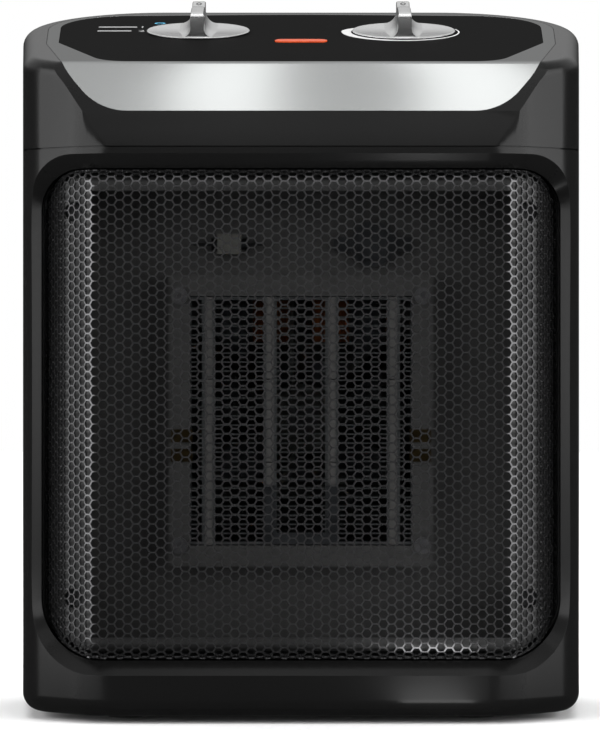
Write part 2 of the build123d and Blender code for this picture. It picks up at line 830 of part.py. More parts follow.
def front_grille():
    """Formed sheet with its openings, which follow the sheet's rounded corners."""
    sheet = tray_block(0) - tray_block(grille_sheet)
    middle = (grille_low + grille_high) / 2
    near, far_end = 0, grille_rim_depth - 0.5
    cells = front_prism(Pos(0, middle) * grille_windows(), near, far_end)
    return sheet - (cells & front_prism(opening(-window_border), near - 1, far_end + 1))


def grille_frame():
    """Flange frame behind the grille: its cheeks follow the facets, its rim sits on the lip."""
    rim = front_prism(opening(frame_rim), lip_depth, lip_depth + frame_sheet)
    cheeks = tray_block(frame_gap) - tray_block(frame_gap + frame_sheet)
    inner = block(-grille_flat_half_width, grille_flat_half_width, front, back,
                  grille_low + frame_border, grille_high - frame_border)
    window = front_prism(opening(-frame_gap - frame_sheet), 0, lip_depth + 10)
    cheeks += front_prism(opening(-frame_gap), grille_rim_depth - 3, lip_depth + 0.5) - window
    body = (rim - window) + cheeks - inner
    for x, z in duct_screw_places:
        body -= rod(x, z, lip_depth - 1, baffle_depth, duct_post_diameter + 2 * fit_gap)
    for x, z in case_screw_places:
        body -= rod(x, z, lip_depth - 1, baffle_depth, case_boss_diameter + 2 * fit_gap)
    for x, z in frame_screw_places:
        body += rod(x, z, grille_facet_depth, frame_post_depth, frame_post_diameter) & behind_cheeks()
        body -= rod(x, z, grille_facet_depth - 12, frame_seat, screw_head_diameter + 0.8)
        body -= rod(x, z, frame_seat - 1, frame_post_depth + 1, case_screw_diameter + 2 * screw_gap)
    return body


def behind_cheeks():
    straight = front_prism(opening(-frame_gap - 1), frame_seat + 1, lip_depth + 30)
    return tray_block(frame_gap + frame_sheet / 2) + straight


frame_screw_places = side_places(screw_hole_x, screw_hole_low, screw_hole_high)


# ---------------------------------------------------------------- heater unit
heater_places = [
    (sx * (heater_width - heater_border) / 2, heater_height + sz * heater_screw_rise)
    for sx in (-1, 1)
    for sz in (-1, 1)
]
strap_places = [(sx * (heater_width - heater_border) / 2, heater_height - drop)
                for drop in strap_drops for sx in (-1, 1)]
bar_places = [(i - (bar_count - 1) / 2) * bar_pitch for i in range(bar_count)]
core_half = heater_width / 2 - heater_border
core_tall = heater_tall - 2 * heater_border
core_low = heater_height - core_tall / 2
core_high = heater_height + core_tall / 2


def heater_block(x0, x1, depth0, depth1, z0, z1):
    return block(x0, x1, at_depth(depth0), at_depth(depth1), z0, z1)


def heater_frame():
    half = heater_width / 2
    body = heater_block(-half, half, heater_front, heater_rear, core_low - heater_border,
                        core_high + heater_border)
    body -= heater_block(-core_half, core_half, heater_front - 1, heater_rear + 1, core_low, core_high)
    for x, z in heater_places:
        body -= rod(x, z, heater_front - 1, heater_rear + 1, small_screw_diameter + 0.4)
    for x, z in strap_places:
        body -= heater_block(
            x - strap_foot / 2 - screw_gap, x + strap_foot / 2 + screw_gap, heater_front - 1,
            heater_rear + 1, z - tab_sheet / 2 - screw_gap, z + tab_sheet / 2 + screw_gap,
        )
    return body


def ceramic_strips():
    """Upright bars: a row of ceramic tablets in a slim aluminium channel."""
    solids = []
    tablet = (core_tall - 0.2) / tablet_count
    for x in bar_places:
        for i in range(tablet_count):
            z = core_low + 0.1 + i * tablet
            solids.append(heater_block(x - tablet_thick / 2, x + tablet_thick / 2, heater_front + 1.0,
                                       heater_rear - 1.0, z + 0.15, z + tablet - 0.15))
    return solids


def electrodes():
    """Contact strips on both sides of each row of tablets, with a tab through the frame."""
    solids = []
    outside = bar_width / 2
    inside = tablet_thick / 2
    for x in bar_places:
        for way in (-1, 1):
            edges = sorted((x + way * inside, x + way * outside))
            solids.append(heater_block(*edges, heater_front + 1.0, heater_rear - 1.0,
                                       core_low + 0.1, core_high - 0.1))
    return solids


def terminal_tabs():
    """Contact straps: a pad on the frame that laps the outer fins, its foot through the frame."""
    solids = []
    half = heater_width / 2
    for x, z in strap_places:
        way = 1 if x > 0 else -1
        edges = sorted((way * (half - strap_edge), way * (half - strap_edge - strap_width)))
        pad = heater_block(*edges, heater_front - tab_sheet, heater_front, z - strap_height / 2,
                           z + strap_height / 2)
        foot = heater_block(x - strap_foot / 2, x + strap_foot / 2, heater_front - tab_sheet / 2,
                            heater_rear + baffle_gap / 2, z - tab_sheet / 2, z + tab_sheet / 2)
        solids.append(pad + foot)
    return solids


def fin_packs():
    """Packs of thin aluminium fins between the bars."""
    solids = []
    edges = [-core_half + 0.1]
    for x in bar_places:
        edges += [x - bar_width / 2, x + bar_width / 2]
    edges.append(core_half - 0.1)
    for left, right in zip(edges[::2], edges[1::2]):
        pack = heater_block(left, right, heater_front + 1.0, heater_rear - 1.0, core_low + 0.3,
                            core_high - 0.3)
        count = int((core_tall - 1.5) // fin_pitch)
        slots = []
        for i in range(count):
            z = heater_height + (i - (count - 1) / 2) * fin_pitch
            slots.append(heater_block(left + 0.4, right - 0.4, heater_front, heater_rear,
                                      z - (fin_pitch - fin_sheet) / 2, z + (fin_pitch - fin_sheet) / 2))
        solids.append(pack - slots)
    return solids


def electrode_bridge():
    """U-shaped jumper low in the middle of the heater's face."""
    x = bar_places[2]
    top = core_low + bridge_height
    body = heater_block(-x - bridge_width / 2, x + bridge_width / 2, heater_front + 0.2,
                        heater_front + 0.9, core_low + 0.5, top)
    return body - heater_block(-x + bridge_width / 2, x - bridge_width / 2, heater_front - 1,
                               heater_rear, core_low + 0.5 + bridge_width, top + 1)


def heater_duct():
    """Baffle that carries the heater, square duct, fan plate and round fan shroud in one moulding."""
    behind = baffle_depth + baffle_sheet
    z0 = floor_gap + 8.0
    z1 = seam_height - 1.0
    half = baffle_half_width
    body = heater_block(-half, half, baffle_depth, behind, z0, z1)
    tube_half = core_half + duct_wall
    body += heater_block(-tube_half, tube_half, behind, fan_plate_depth, core_low - duct_wall,
                         core_high + duct_wall)
    ring = shroud_bore / 2 + shroud_wall
    body += rod(0, heater_height, fan_plate_depth, shroud_end, 2 * ring)
    for z in mount_screw_places:
        body += rod(0, z, fan_plate_depth, shroud_end, mount_boss_diameter)
    body += rod(0, heater_height, fan_plate_depth - 0.1, fan_plate_depth + baffle_sheet, 2 * tube_reach)
    body -= heater_block(-core_half, core_half, baffle_depth - 1, fan_plate_depth, core_low, core_high)
    body -= rod(0, heater_height, fan_plate_depth - 1, shroud_end + 1, shroud_bore)
    for x, z in frame_screw_places:
        body += rod(x, z, frame_post_depth, baffle_depth, frame_post_diameter)
    for x, z in frame_screw_places:
        body -= rod(x, z, frame_post_depth - 1, frame_post_depth + 14, case_screw_diameter + 2 * screw_gap)
    for x, z in duct_screw_places:
        body -= rod(x, z, baffle_depth - 1, behind + 1, case_screw_diameter + 2 * screw_gap)
    for x, z in heater_places:
        body += rod(x, z, heater_rear, baffle_depth + 0.1, heater_post_diameter)
        body += rod(x, z, behind - 0.1, behind + heater_post_length, heater_post_diameter)
        body -= rod(x, z, heater_rear - 1, heater_screw_tip + 2, small_screw_diameter + 2 * screw_gap)
    for z in mount_screw_places:
        body -= rod(0, z, shroud_end - 10, shroud_end + 1, small_screw_diameter + 2 * screw_gap)
    for x, z in case_screw_places:
        body -= rod(x, z, baffle_depth - 1, behind + 1, case_boss_diameter + 2 * fit_gap)
    return body


# ---------------------------------------------------------------- fan and motor
def axial(depth0, depth1, diameter):
    """Round bar on the fan's axis between two depths."""
    return rod(0, heater_height, depth0, depth1, diameter)


def fan_impeller():
    middle = Pos(0, at_depth(fan_front + fan_hub_length / 2), heater_height)
    reach = fan_diameter / 2
    blades = []
    for i in range(blade_count):
        blade = Rot(0, 0, 90 - blade_pitch_deg) * Box(blade_chord, blade_sheet, reach)
        turned = middle * Rot(0, 360 / blade_count * i, 0)
        blades.append(turned * Pos(0, 0, reach / 2 + fan_hub_diameter / 4) * blade)
    span = axial(fan_front, fan_front + fan_hub_length, fan_diameter)
    body = axial(fan_front, fan_front + fan_hub_length, fan_hub_diameter)
    for blade in blades:
        body += blade & span
    return body - axial(fan_front - 1, fan_front + fan_hub_length + 1, motor_shaft_diameter + 0.04)


def fan_clip():
    """Push-on ring that keeps the impeller on the shaft."""
    ring = axial(fan_front - clip_sheet, fan_front, fan_hub_diameter / 2.4)
    return ring - axial(fan_front - 2, fan_front + 1, motor_shaft_diameter + 0.04)


stator_front = motor_front + plate_sheet + bearing_stand
stator_rear = stator_front + stator_thick
plate_rear = stator_rear + bearing_stand
motor_rear = plate_rear + plate_sheet
motor_screw_places = [(sx * motor_screw_spacing / 2, heater_height) for sx in (-1, 1)]


def motor_shaft():
    body = axial(fan_front - 2.5, motor_rear + 2.0, motor_shaft_diameter)
    return chamfer(body.edges().filter_by(GeomType.CIRCLE), 0.3)


def motor_rotor():
    body = axial(stator_front + rotor_gap, stator_rear - rotor_gap, stator_bore - 2 * rotor_gap)
    body = chamfer(body.edges().filter_by(GeomType.CIRCLE), 0.6)
    return body - axial(stator_front, stator_rear, motor_shaft_diameter + 0.04)


def stator_leg(grow=0.0):
    """Top leg of the lamination stack, which the coil sits on."""
    near = at_depth(stator_front) - grow
    rear = at_depth(stator_rear) + grow
    return block(-window_half - 1, window_half + 1, near, rear,
                 heater_height + window_high - grow, heater_height + stator_high + grow)


def motor_stator():
    body = block(-stator_width / 2, stator_width / 2, at_depth(stator_front), at_depth(stator_rear),
                 heater_height - stator_low, heater_height + stator_high)
    body -= axial(stator_front - 1, stator_rear + 1, stator_bore)
    body -= block(-window_half, window_half, at_depth(stator_front) - 1, at_depth(stator_rear) + 1,
                  heater_height + window_low, heater_height + window_high)
    for x, z in motor_screw_places:
        body -= rod(x, z, stator_front - 1, stator_rear + 1, motor_screw_diameter + 0.4)
    return body


def coil_space(end):
    """Room that the coil takes round the leg, out to this half width."""
    return block(-end, end, at_depth(stator_front) - winding, at_depth(stator_rear) + winding,
                 heater_height + window_high - winding, heater_height + stator_high + winding)


def coil_bobbin():
    tube = bobbin_gap + bobbin_wall
    cheeks = coil_space(window_half - 0.5) - coil_space(window_half - 0.5 - bobbin_wall)
    body = cheeks + (stator_leg(tube) & coil_space(window_half - 0.5))
    return body - stator_leg(bobbin_gap)


def motor_coil():
    tube = bobbin_gap + bobbin_wall
    body = coil_space(window_half - 0.5 - bobbin_wall - 0.1) - stator_leg(tube + 0.05)
    return body


def stretch(start, way, length):
    """Two depths, in order, from start toward the stator."""
    return sorted((start, start + way * length))


def bearing_bracket(outside, way):
    """Strip with two legs and a bearing hub, its plate's outer face at a depth."""
    half = bracket_strip / 2
    plate0, plate1 = stretch(outside, way, plate_sheet)
    leg0, leg1 = stretch(outside, way, plate_sheet + bearing_stand)
    body = front_prism(Pos(0, heater_height) * SlotOverall(stator_width - 3, bracket_strip), plate0, plate1)
    for x, z in motor_screw_places:
        body += block(x - 4, x + 4, at_depth(leg0), at_depth(leg1), z - half, z + half)
    body += axial(*stretch(outside, way, hub_reach), bush_diameter + 3)
    body -= axial(leg0 - 1, leg1 + 1, bush_diameter + 0.04)
    for x, z in motor_screw_places:
        body -= rod(x, z, leg0 - 1, leg1 + 1, motor_screw_diameter + 0.3)
    return body


def bush(outside, way):
    body = axial(*stretch(outside, way, hub_reach), bush_diameter)
    return body - axial(0, casing_depth, motor_shaft_diameter + 2 * running_clearance)


def motor_mount():
    """Spider across the shroud's end: ring, two arms, screw bosses for the motor."""
    ring = shroud_bore / 2 + shroud_wall
    body = axial(shroud_end, motor_front, 2 * ring) - axial(0, casing_depth, shroud_bore - 2)
    body += block(-ring + 1, ring - 1, at_depth(shroud_end), at_depth(motor_front),
                  heater_height - bracket_strip / 2, heater_height + bracket_strip / 2)
    for z in mount_screw_places:
        body += rod(0, z, shroud_end, motor_front, mount_boss_diameter)
        body -= rod(0, z, shroud_end - 1, motor_front + 1, small_screw_diameter + 0.4)
    body -= axial(0, casing_depth, bush_diameter + 2)
    for x, z in motor_screw_places:
        body -= rod(x, z, shroud_end - 1, motor_front + 1, motor_screw_diameter + 0.3)
    return body


def motor_nuts():
    solids = []
    for x, z in motor_screw_places:
        nut = front_prism(Pos(x, z) * RegularPolygon(motor_screw_diameter, 6), motor_rear, motor_rear + 2.6)
        solids.append(nut - rod(x, z, motor_rear - 1, motor_rear + 4, motor_screw_diameter + 0.06))
    return solids


# ---------------------------------------------------------------- electrical small parts
def cord_bushing():
    """Rubber bushing that the supply lead would enter through."""
    wall_inside = casing_depth - wall
    body = rod(cord_x, cord_z, wall_inside, casing_depth - 0.3, cord_hole_diameter - 0.4)
    body += rod(cord_x, cord_z, wall_inside - 3.0, wall_inside, cord_hole_diameter + 5)
    return body - rod(cord_x, cord_z, wall_inside - 4, casing_depth, cord_bore)


def terminal_block():
    """Row of three clamps: a screw head low in each well, a slot between the wells."""
    x0 = terminal_x - terminal_length / 2
    y0 = at_depth(terminal_depth)
    top = base_top + terminal_tall
    body = block(x0, x0 + terminal_length, y0, y0 + terminal_deep, base_top, top)
    pitch = terminal_length / 3
    for i in range(3):
        x = x0 + pitch * (i + 0.5)
        y = y0 + terminal_deep / 2
        body -= post(x, y, base_top + terminal_tall / 2, top + 1, terminal_bore)
        body += post(x, y, base_top + terminal_tall / 2 - 0.1, top - 1.5, terminal_screw)
    for i in (1, 2):
        x = x0 + pitch * i
        body -= block(x - 0.5, x + 0.5, y0 - 1, y0 + terminal_deep + 1, top - 4, top + 1)
    return body


def thermal_cutout():
    body = rod(cutout_x, cutout_z, baffle_depth - 5.0, baffle_depth, cutout_diameter)
    body += rod(cutout_x, cutout_z, baffle_depth - 7.0, baffle_depth - 5.0, cutout_cap_diameter)
    for way in (-1, 1):
        x0, x1 = sorted((cutout_x + way * 7, cutout_x + way * 13))
        body += block(x0, x1, at_depth(baffle_depth - 3.4), at_depth(baffle_depth - 2.6), cutout_z - 2.4,
                      cutout_z + 2.4)
    return body


def thermal_fuse():
    """Axial fuse in a clip block on the baffle."""
    bulb = Pos(-cutout_x, at_depth(baffle_depth - 5.0), cutout_z) * Rot(0, 90, 0)
    wire = bulb * Cylinder(fuse_wire / 2, fuse_wire_length)
    return bulb * Cylinder(fuse_diameter / 2, fuse_length) + wire


def fuse_clip():
    x = -cutout_x
    body = block(x - 4, x + 4, at_depth(baffle_depth - 7.6), at_depth(baffle_depth), cutout_z - 3.4,
                 cutout_z + 3.4)
    bulb = Pos(x, at_depth(baffle_depth - 5.0), cutout_z) * Rot(0, 90, 0)
    return body - bulb * Cylinder(fuse_diameter / 2 + 0.05, fuse_wire_length)


def lead(*points):
    """Insulated lead: straight runs joined by arcs."""
    radii = []
    for before, here, after in zip(points, points[1:], points[2:]):
        one = Vector(here) - Vector(before)
        two = Vector(after) - Vector(here)
        turn = radians(one.get_angle(two))
        radii.append(0.45 * min(one.length, two.length) / tan(turn / 2))
    path = FilletPolyline(*points, radius=radii)
    start = Plane(origin=points[0], z_dir=Vector(points[1]) - Vector(points[0]))
    return sweep(start * Circle(lead_diameter / 2), path)


def panel_point(u, v, w):
    place = panel_plane.from_local_coords(Vector(u, v, w))
    return (place.X, place.Y, place.Z)


def wiring():
    """Leads from the terminal block up to the controls, and from the controls to the heater."""
    block_top = base_top + 11.3
    y = at_depth(terminal_depth) + 6
    pitch = terminal_length / 3
    side_y = at_depth(lead_depth)
    low_tab = bracket_under - control_tall - 8.4
    quarter = control_wide / 4
    leads = []
    for i, tab in enumerate((-1, 1)):
        x = terminal_x + pitch * i
        end = panel_point(knob_places[1] + tab * quarter, 0, low_tab)
        rise = (lead_x + 4 * i, side_y, seam_height - 24.0 + 4 * i)
        side = (lead_x + 4 * i, side_y, block_top + 34)
        leads.append(lead((x, y, block_top), (x, y, block_top + 16), side, rise,
                          (end[0], end[1] + 4, end[2] - 14), end))
    x = terminal_x - pitch
    end = panel_point(knob_places[0] + quarter, 0, low_tab)
    leads.append(lead((x, y, block_top), (x, y, block_top + 8), (-lead_x, side_y, block_top + 30),
                      (-lead_x, side_y, seam_height - 22), (end[0], end[1] + 4, end[2] - 14), end))
    return leads


# ---------------------------------------------------------------- write every piece
os.makedirs("parts", exist_ok=True)
knob_planes = [panel_plane * Pos(u, 0, 0) for u in knob_places]

save("front_housing", lower_half(-1, split_depth))
save("rear_housing", rear_half())
save("top_hood", top_hood())
save("base_plate", base_plate())
save("rubber_feet", *feet())
save("intake_grille", intake_grille())
save("front_grille", front_grille())
save("grille_frame", grille_frame())
save("grille_screws", *[
    screw(x, z, frame_seat, frame_post_depth + screw_grip) for x, z in frame_screw_places
])
save("trim_ring", trim_ring())
save("control_panel", control_panel())
save("pilot_lens", pilot_lens())
save("pilot_lamp", pilot_lamp())
save("lamp_holder", lamp_holder())
for name, plane in zip(("mode", "thermostat"), knob_planes):
    save(f"{name}_knob", plane * knob())
    save(f"{name}_knob_dot", plane * knob_dot())
    save(f"{name}_shaft", plane * control_shaft())
save("mode_switch", knob_planes[0] * control_body(control_wide, mode_switch_length, control_tall))
save("thermostat", knob_planes[1] * control_body(control_wide, thermostat_length, control_tall))
save("panel_nuts", *[plane * panel_nut() for plane in knob_planes])
save("control_bracket", control_bracket())
save("bracket_screws", *bracket_screws())
save("heater_frame", heater_frame())
save("ceramic_strips", *ceramic_strips())
save("electrodes", *electrodes())
save("terminal_tabs", *terminal_tabs())
save("fin_packs", *fin_packs())
save("electrode_bridge", electrode_bridge())
save("heater_screws", *[
    screw(x, z, heater_front, heater_screw_tip, small_screw_diameter) for x, z in heater_places
])
save("heater_duct", heater_duct())
save("duct_screws", *[
    screw(x, z, baffle_depth + baffle_sheet, baffle_depth + baffle_sheet - screw_grip)
    for x, z in duct_screw_places
])
save("thermal_cutout", thermal_cutout())
save("thermal_fuse", thermal_fuse())
save("fuse_clip", fuse_clip())
save("fan_impeller", fan_impeller())
save("fan_clip", fan_clip())
save("motor_shaft", motor_shaft())
save("motor_rotor", motor_rotor())
save("motor_stator", motor_stator())
save("coil_bobbin", coil_bobbin())
save("motor_coil", motor_coil())
save("bearing_brackets", bearing_bracket(motor_front, 1), bearing_bracket(motor_rear, -1))
save("bearing_bushes", bush(motor_front, 1), bush(motor_rear, -1))
save("motor_mount", motor_mount())
save("motor_screws", *[
    screw(x, z, shroud_end, motor_rear + 3.5, motor_screw_diameter) for x, z in motor_screw_places
])
save("motor_nuts", *motor_nuts())
save("mount_screws", *[
    screw(0, z, motor_front, shroud_end - 9, small_screw_diameter) for z in mount_screw_places
])
save("case_screws", *[screw(x, z, case_screw_seat, case_screw_tip) for x, z in case_screw_places])
save("hood_screws", *[
    post(x, y, hood_post_low, hood_post_high - 4, case_screw_diameter)
    + post(x, y, hood_post_low - screw_head_height, hood_post_low, screw_head_diameter)
    for x, y in hood_screw_places
])
save("cord_bushing", cord_bushing())
save("terminal_block", terminal_block())
save("wiring", *wiring())
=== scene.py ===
import json
import math
import bmesh
import bpy
from mathutils import Matrix, Vector


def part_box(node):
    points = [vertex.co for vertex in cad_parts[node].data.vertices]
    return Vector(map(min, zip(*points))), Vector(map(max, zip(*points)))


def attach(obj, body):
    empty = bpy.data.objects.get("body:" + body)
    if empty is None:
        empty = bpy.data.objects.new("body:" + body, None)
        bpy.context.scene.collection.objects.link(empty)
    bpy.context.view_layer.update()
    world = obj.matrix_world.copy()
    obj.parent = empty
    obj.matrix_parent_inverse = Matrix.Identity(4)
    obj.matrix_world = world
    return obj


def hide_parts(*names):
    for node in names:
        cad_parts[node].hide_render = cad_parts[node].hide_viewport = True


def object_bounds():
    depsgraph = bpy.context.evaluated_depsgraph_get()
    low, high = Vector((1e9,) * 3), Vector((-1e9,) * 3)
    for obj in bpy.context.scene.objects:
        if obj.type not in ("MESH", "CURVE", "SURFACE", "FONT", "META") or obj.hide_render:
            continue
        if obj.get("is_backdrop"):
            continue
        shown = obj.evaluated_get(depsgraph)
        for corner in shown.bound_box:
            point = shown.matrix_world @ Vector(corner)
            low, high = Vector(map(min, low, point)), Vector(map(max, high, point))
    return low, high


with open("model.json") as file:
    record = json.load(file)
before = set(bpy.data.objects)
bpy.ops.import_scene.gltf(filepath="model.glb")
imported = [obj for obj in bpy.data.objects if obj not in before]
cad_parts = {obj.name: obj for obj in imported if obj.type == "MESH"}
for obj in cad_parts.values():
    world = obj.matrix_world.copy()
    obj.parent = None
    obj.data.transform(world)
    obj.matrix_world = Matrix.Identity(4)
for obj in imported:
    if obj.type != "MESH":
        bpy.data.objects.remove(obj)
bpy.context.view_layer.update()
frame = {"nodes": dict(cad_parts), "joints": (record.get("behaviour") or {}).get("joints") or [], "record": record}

mm = 0.001
nodes = frame["nodes"]
scene = bpy.context.scene
print("frame loaded:", len(nodes), "pieces")

# places on the casing, in millimetres: x to the right, depth back from the front face, z up
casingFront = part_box("front_housing")[0][1] / mm


def atDepth(depth):
    return casingFront + depth


# small helpers
def fromHex(code):
    # sRGB hex to the linear values that the shader wants
    parts = [int(code[i:i + 2], 16) / 255 for i in (1, 3, 5)]
    return [p / 12.92 if p <= 0.04045 else ((p + 0.055) / 1.055) ** 2.4 for p in parts] + [1.0]


def addNode(tree, kind, settings=None, links=None):
    node = tree.nodes.new(kind)
    for name, value in (settings or {}).items():
        if isinstance(name, str) and hasattr(node, name):
            setattr(node, name, value)
        else:
            node.inputs[name].default_value = value
    for name, source in (links or {}).items():
        tree.links.new(source, node.inputs[name])
    return node


def finishPiece(name, bm, material, body="heater", smoothAngle=40):
    # millimetres to metres, sharp edges by angle, then onto its body
    bmesh.ops.scale(bm, vec=(mm, mm, mm), verts=bm.verts)
    mesh = bpy.data.meshes.new(name)
    bm.to_mesh(mesh)
    bm.free()
    for mat in (material if isinstance(material, list) else [material]):
        mesh.materials.append(mat)
    mesh.shade_smooth()
    mesh.set_sharp_from_angle(angle=math.radians(smoothAngle))
    piece = bpy.data.objects.new(name, mesh)
    scene.collection.objects.link(piece)
    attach(piece, body)
    return piece


def addModifier(piece, kind, **settings):
    modifier = piece.modifiers.new(kind.title(), kind)
    for name, value in settings.items():
        setattr(modifier, name, value)
    return modifier


def solidCopy(node):
    # merged copy of a CAD solid, in millimetres
    bm = bmesh.new()
    bm.from_mesh(nodes[node].data)
    bmesh.ops.scale(bm, vec=(1 / mm, 1 / mm, 1 / mm), verts=bm.verts)
    bmesh.ops.remove_doubles(bm, verts=bm.verts, dist=0.002)
    return bm


# camera, level with the middle of the heater
view = {
    "distance": 1370.0,       # from the front face, in mm
    "height": 118.2,
    "frameHeight": 237.25,    # how much of the front face's plane the frame takes in, in mm
    "sensor": 36.0,
    "shift": (-0.00137, -0.00685),    # lens shift, as shares of the frame
}
camData = bpy.data.cameras.new("viewCamera")
camData.sensor_width = view["sensor"]
camData.lens = view["sensor"] * view["distance"] / view["frameHeight"]
camData.shift_x, camData.shift_y = view["shift"]
camera = bpy.data.objects.new("viewCamera", camData)
camera.location = (0, atDepth(-view["distance"]) * mm, view["height"] * mm)
camera.rotation_euler = (math.radians(90), 0, 0)
scene.collection.objects.link(camera)
scene.camera = camera
scene.view_settings.view_transform = "Standard"

# soft studio light: a box at each side and one overhead, two long strips over the front for
# the bands in the plated trim, and a small card on the floor that shows at the right of the chin
lamps = {
    # name: (place in m, aims at, width m, height m, watts, mirrored in metal and gloss)
    "sideBoxLeft": ((-1.15, -1.28, 0.475), (0, -1.28, 0.475), 2.65, 1.05, 40.5, True),
    "sideBoxRight": ((1.15, -1.28, 0.475), (0, -1.28, 0.475), 2.65, 1.05, 40.5, True),
    "overheadBox": ((0.0, 0.15, 1.3), (0, 0, 0.10), 1.6, 1.2, 22.0, False),
    "stripLeft": ((-0.037, -0.43, 0.70), (-0.037, -0.065, 0.215), 0.05, 1.5, 0.33, True),
    "stripRight": ((0.087, -0.43, 0.70), (0.087, -0.065, 0.215), 0.06, 1.5, 0.40, True),
    "lowCard": ((0.045, -0.15, 0.001), (0.045, -0.15, 1.0), 0.024, 0.15, 0.075, True),
}
for lampName, (place, aim, wide, tall, watts, mirrored) in lamps.items():
    lampData = bpy.data.lights.new(lampName, "AREA")
    lampData.shape = "RECTANGLE"
    lampData.size, lampData.size_y, lampData.energy = wide, tall, watts
    lamp = bpy.data.objects.new(lampName, lampData)
    lamp.location = place
    lamp.rotation_euler = (Vector(aim) - Vector(place)).to_track_quat("-Z", "Y").to_euler()
    lamp.visible_glossy = mirrored
    lamp.visible_camera = False
    scene.collection.objects.link(lamp)

studio = {
    "room": 0.1,          # what lights matt surfaces from all sides
    "sky": 0.7,           # what metal and gloss mirror: a white ceiling
    "horizon": 0.04,      # that darkens towards the horizon
    "skyFrom": 0.07,      # between these two shares of the way up
    "skyFull": 0.5,
}
world = bpy.data.worlds.new("whiteStudio")
scene.world = world
world.use_nodes = True
tree = world.node_tree
tree.nodes.clear()
rays = addNode(tree, "ShaderNodeLightPath")
seen = addNode(tree, "ShaderNodeMath", {"operation": "MAXIMUM"},
               {0: rays.outputs["Is Camera Ray"], 1: rays.outputs["Is Transmission Ray"]})
place = addNode(tree, "ShaderNodeTexCoord")
split = addNode(tree, "ShaderNodeSeparateXYZ", links={0: place.outputs["Generated"]})
ceiling = addNode(tree, "ShaderNodeMapRange", {
    "From Min": studio["skyFrom"], "From Max": studio["skyFull"], "To Min": studio["horizon"],
    "To Max": studio["sky"], "interpolation_type": "SMOOTHSTEP"}, {"Value": split.outputs["Z"]})
mirrored = addNode(tree, "ShaderNodeMix", {"A": studio["room"]},
                   {"Factor": rays.outputs["Is Glossy Ray"], "B": ceiling.outputs[0]})
level = addNode(tree, "ShaderNodeMix", {"B": 1.0},
                {"Factor": seen.outputs[0], "A": mirrored.outputs[0]})
light = addNode(tree, "ShaderNodeBackground", {"Color": (1, 1, 1, 1)}, {"Strength": level.outputs[0]})
addNode(tree, "ShaderNodeOutputWorld", links={"Surface": light.outputs[0]})

ground = {
    "half": 4.0,          # in m
    "drop": 0.0002,       # under the feet, so that the two don't share a plane
    "tone": "#f4f4f4",
    "rough": 0.9,
    "gloss": 0.1,
    "liftFrom": 0.1,      # in m from the middle: the camera sees the floor grow as white as the
    "liftFull": 0.3,      # background between these two, and the heater's shadow stays inside
}
floorMesh = bpy.data.meshes.new("paleFloor")
bm = bmesh.new()
bmesh.ops.create_grid(bm, x_segments=1, y_segments=1, size=ground["half"])
bm.to_mesh(floorMesh)
bm.free()
floor = bpy.data.objects.new("paleFloor", floorMesh)
floor.location = (0, 0, -ground["drop"])
floor.visible_glossy = False   # gloss and metal mirror a dark ground
scene.collection.objects.link(floor)
floor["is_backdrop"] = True
floorPaint = bpy.data.materials.new("paleFloorPaint")
floorPaint.use_nodes = True
floorTree = floorPaint.node_tree
floorShader = floorTree.nodes["Principled BSDF"]
floorShader.inputs["Base Color"].default_value = fromHex(ground["tone"])
floorShader.inputs["Roughness"].default_value = ground["rough"]
floorShader.inputs["Specular IOR Level"].default_value = ground["gloss"]
floorRays = addNode(floorTree, "ShaderNodeLightPath")
floorSpot = addNode(floorTree, "ShaderNodeTexCoord")
floorFar = addNode(floorTree, "ShaderNodeVectorMath", {"operation": "LENGTH"},
                   {0: floorSpot.outputs["Object"]})
floorRamp = addNode(floorTree, "ShaderNodeMapRange",
                    {"From Min": ground["liftFrom"], "From Max": ground["liftFull"],
                     "To Min": 0.0, "To Max": 1.0}, {"Value": floorFar.outputs["Value"]})
floorLift = addNode(floorTree, "ShaderNodeMath", {"operation": "MULTIPLY"},
                    {0: floorRays.outputs["Is Camera Ray"], 1: floorRamp.outputs[0]})
floorGlow = addNode(floorTree, "ShaderNodeEmission", links={"Strength": floorLift.outputs[0]})
floorSum = addNode(floorTree, "ShaderNodeAddShader",
                   links={0: floorShader.outputs[0], 1: floorGlow.outputs[0]})
floorTree.links.new(floorSum.outputs[0], floorTree.nodes["Material Output"].inputs["Surface"])
floorMesh.materials.append(floorPaint)
print("camera, lamps and floor set")


# materials
def makeFinish(name, look):
    # a base colour that varies a little, a fine grain that moves roughness and relief
    mat = bpy.data.materials.new(name)
    mat.use_nodes = True
    tree = mat.node_tree
    shader = tree.nodes["Principled BSDF"]
    for socket, value in look.get("sockets", {}).items():
        shader.inputs[socket].default_value = value
    spot = addNode(tree, "ShaderNodeTexCoord")
    stretch = addNode(tree, "ShaderNodeMapping", {"Scale": look.get("stretch", (1, 1, 1))},
                      {"Vector": spot.outputs["Object"]})
    grain = addNode(tree, "ShaderNodeTexNoise",
                    {"Scale": 1 / (look["grain"] * mm), "Detail": look.get("detail", 3.0)},
                    {"Vector": stretch.outputs[0]})
    tone = addNode(tree, "ShaderNodeMix", {"data_type": "RGBA"}, {"Factor": grain.outputs["Fac"]})
    tone.inputs["A"].default_value = fromHex(look["dark"])
    tone.inputs["B"].default_value = fromHex(look["light"])
    low, high = look["rough"]
    rough = addNode(tree, "ShaderNodeMapRange",
                    {"From Min": 0.25, "From Max": 0.75, "To Min": low, "To Max": high},
                    {"Value": grain.outputs["Fac"]})
    relief = addNode(tree, "ShaderNodeBump", {"Strength": look.get("relief", 0.1),
                                              "Distance": look.get("height", 0.02) * mm},
                     {"Height": grain.outputs["Fac"]})
    tree.links.new(tone.outputs["Result"], shader.inputs["Base Color"])
    tree.links.new(rough.outputs[0], shader.inputs["Roughness"])
    tree.links.new(relief.outputs[0], shader.inputs["Normal"])
    return mat


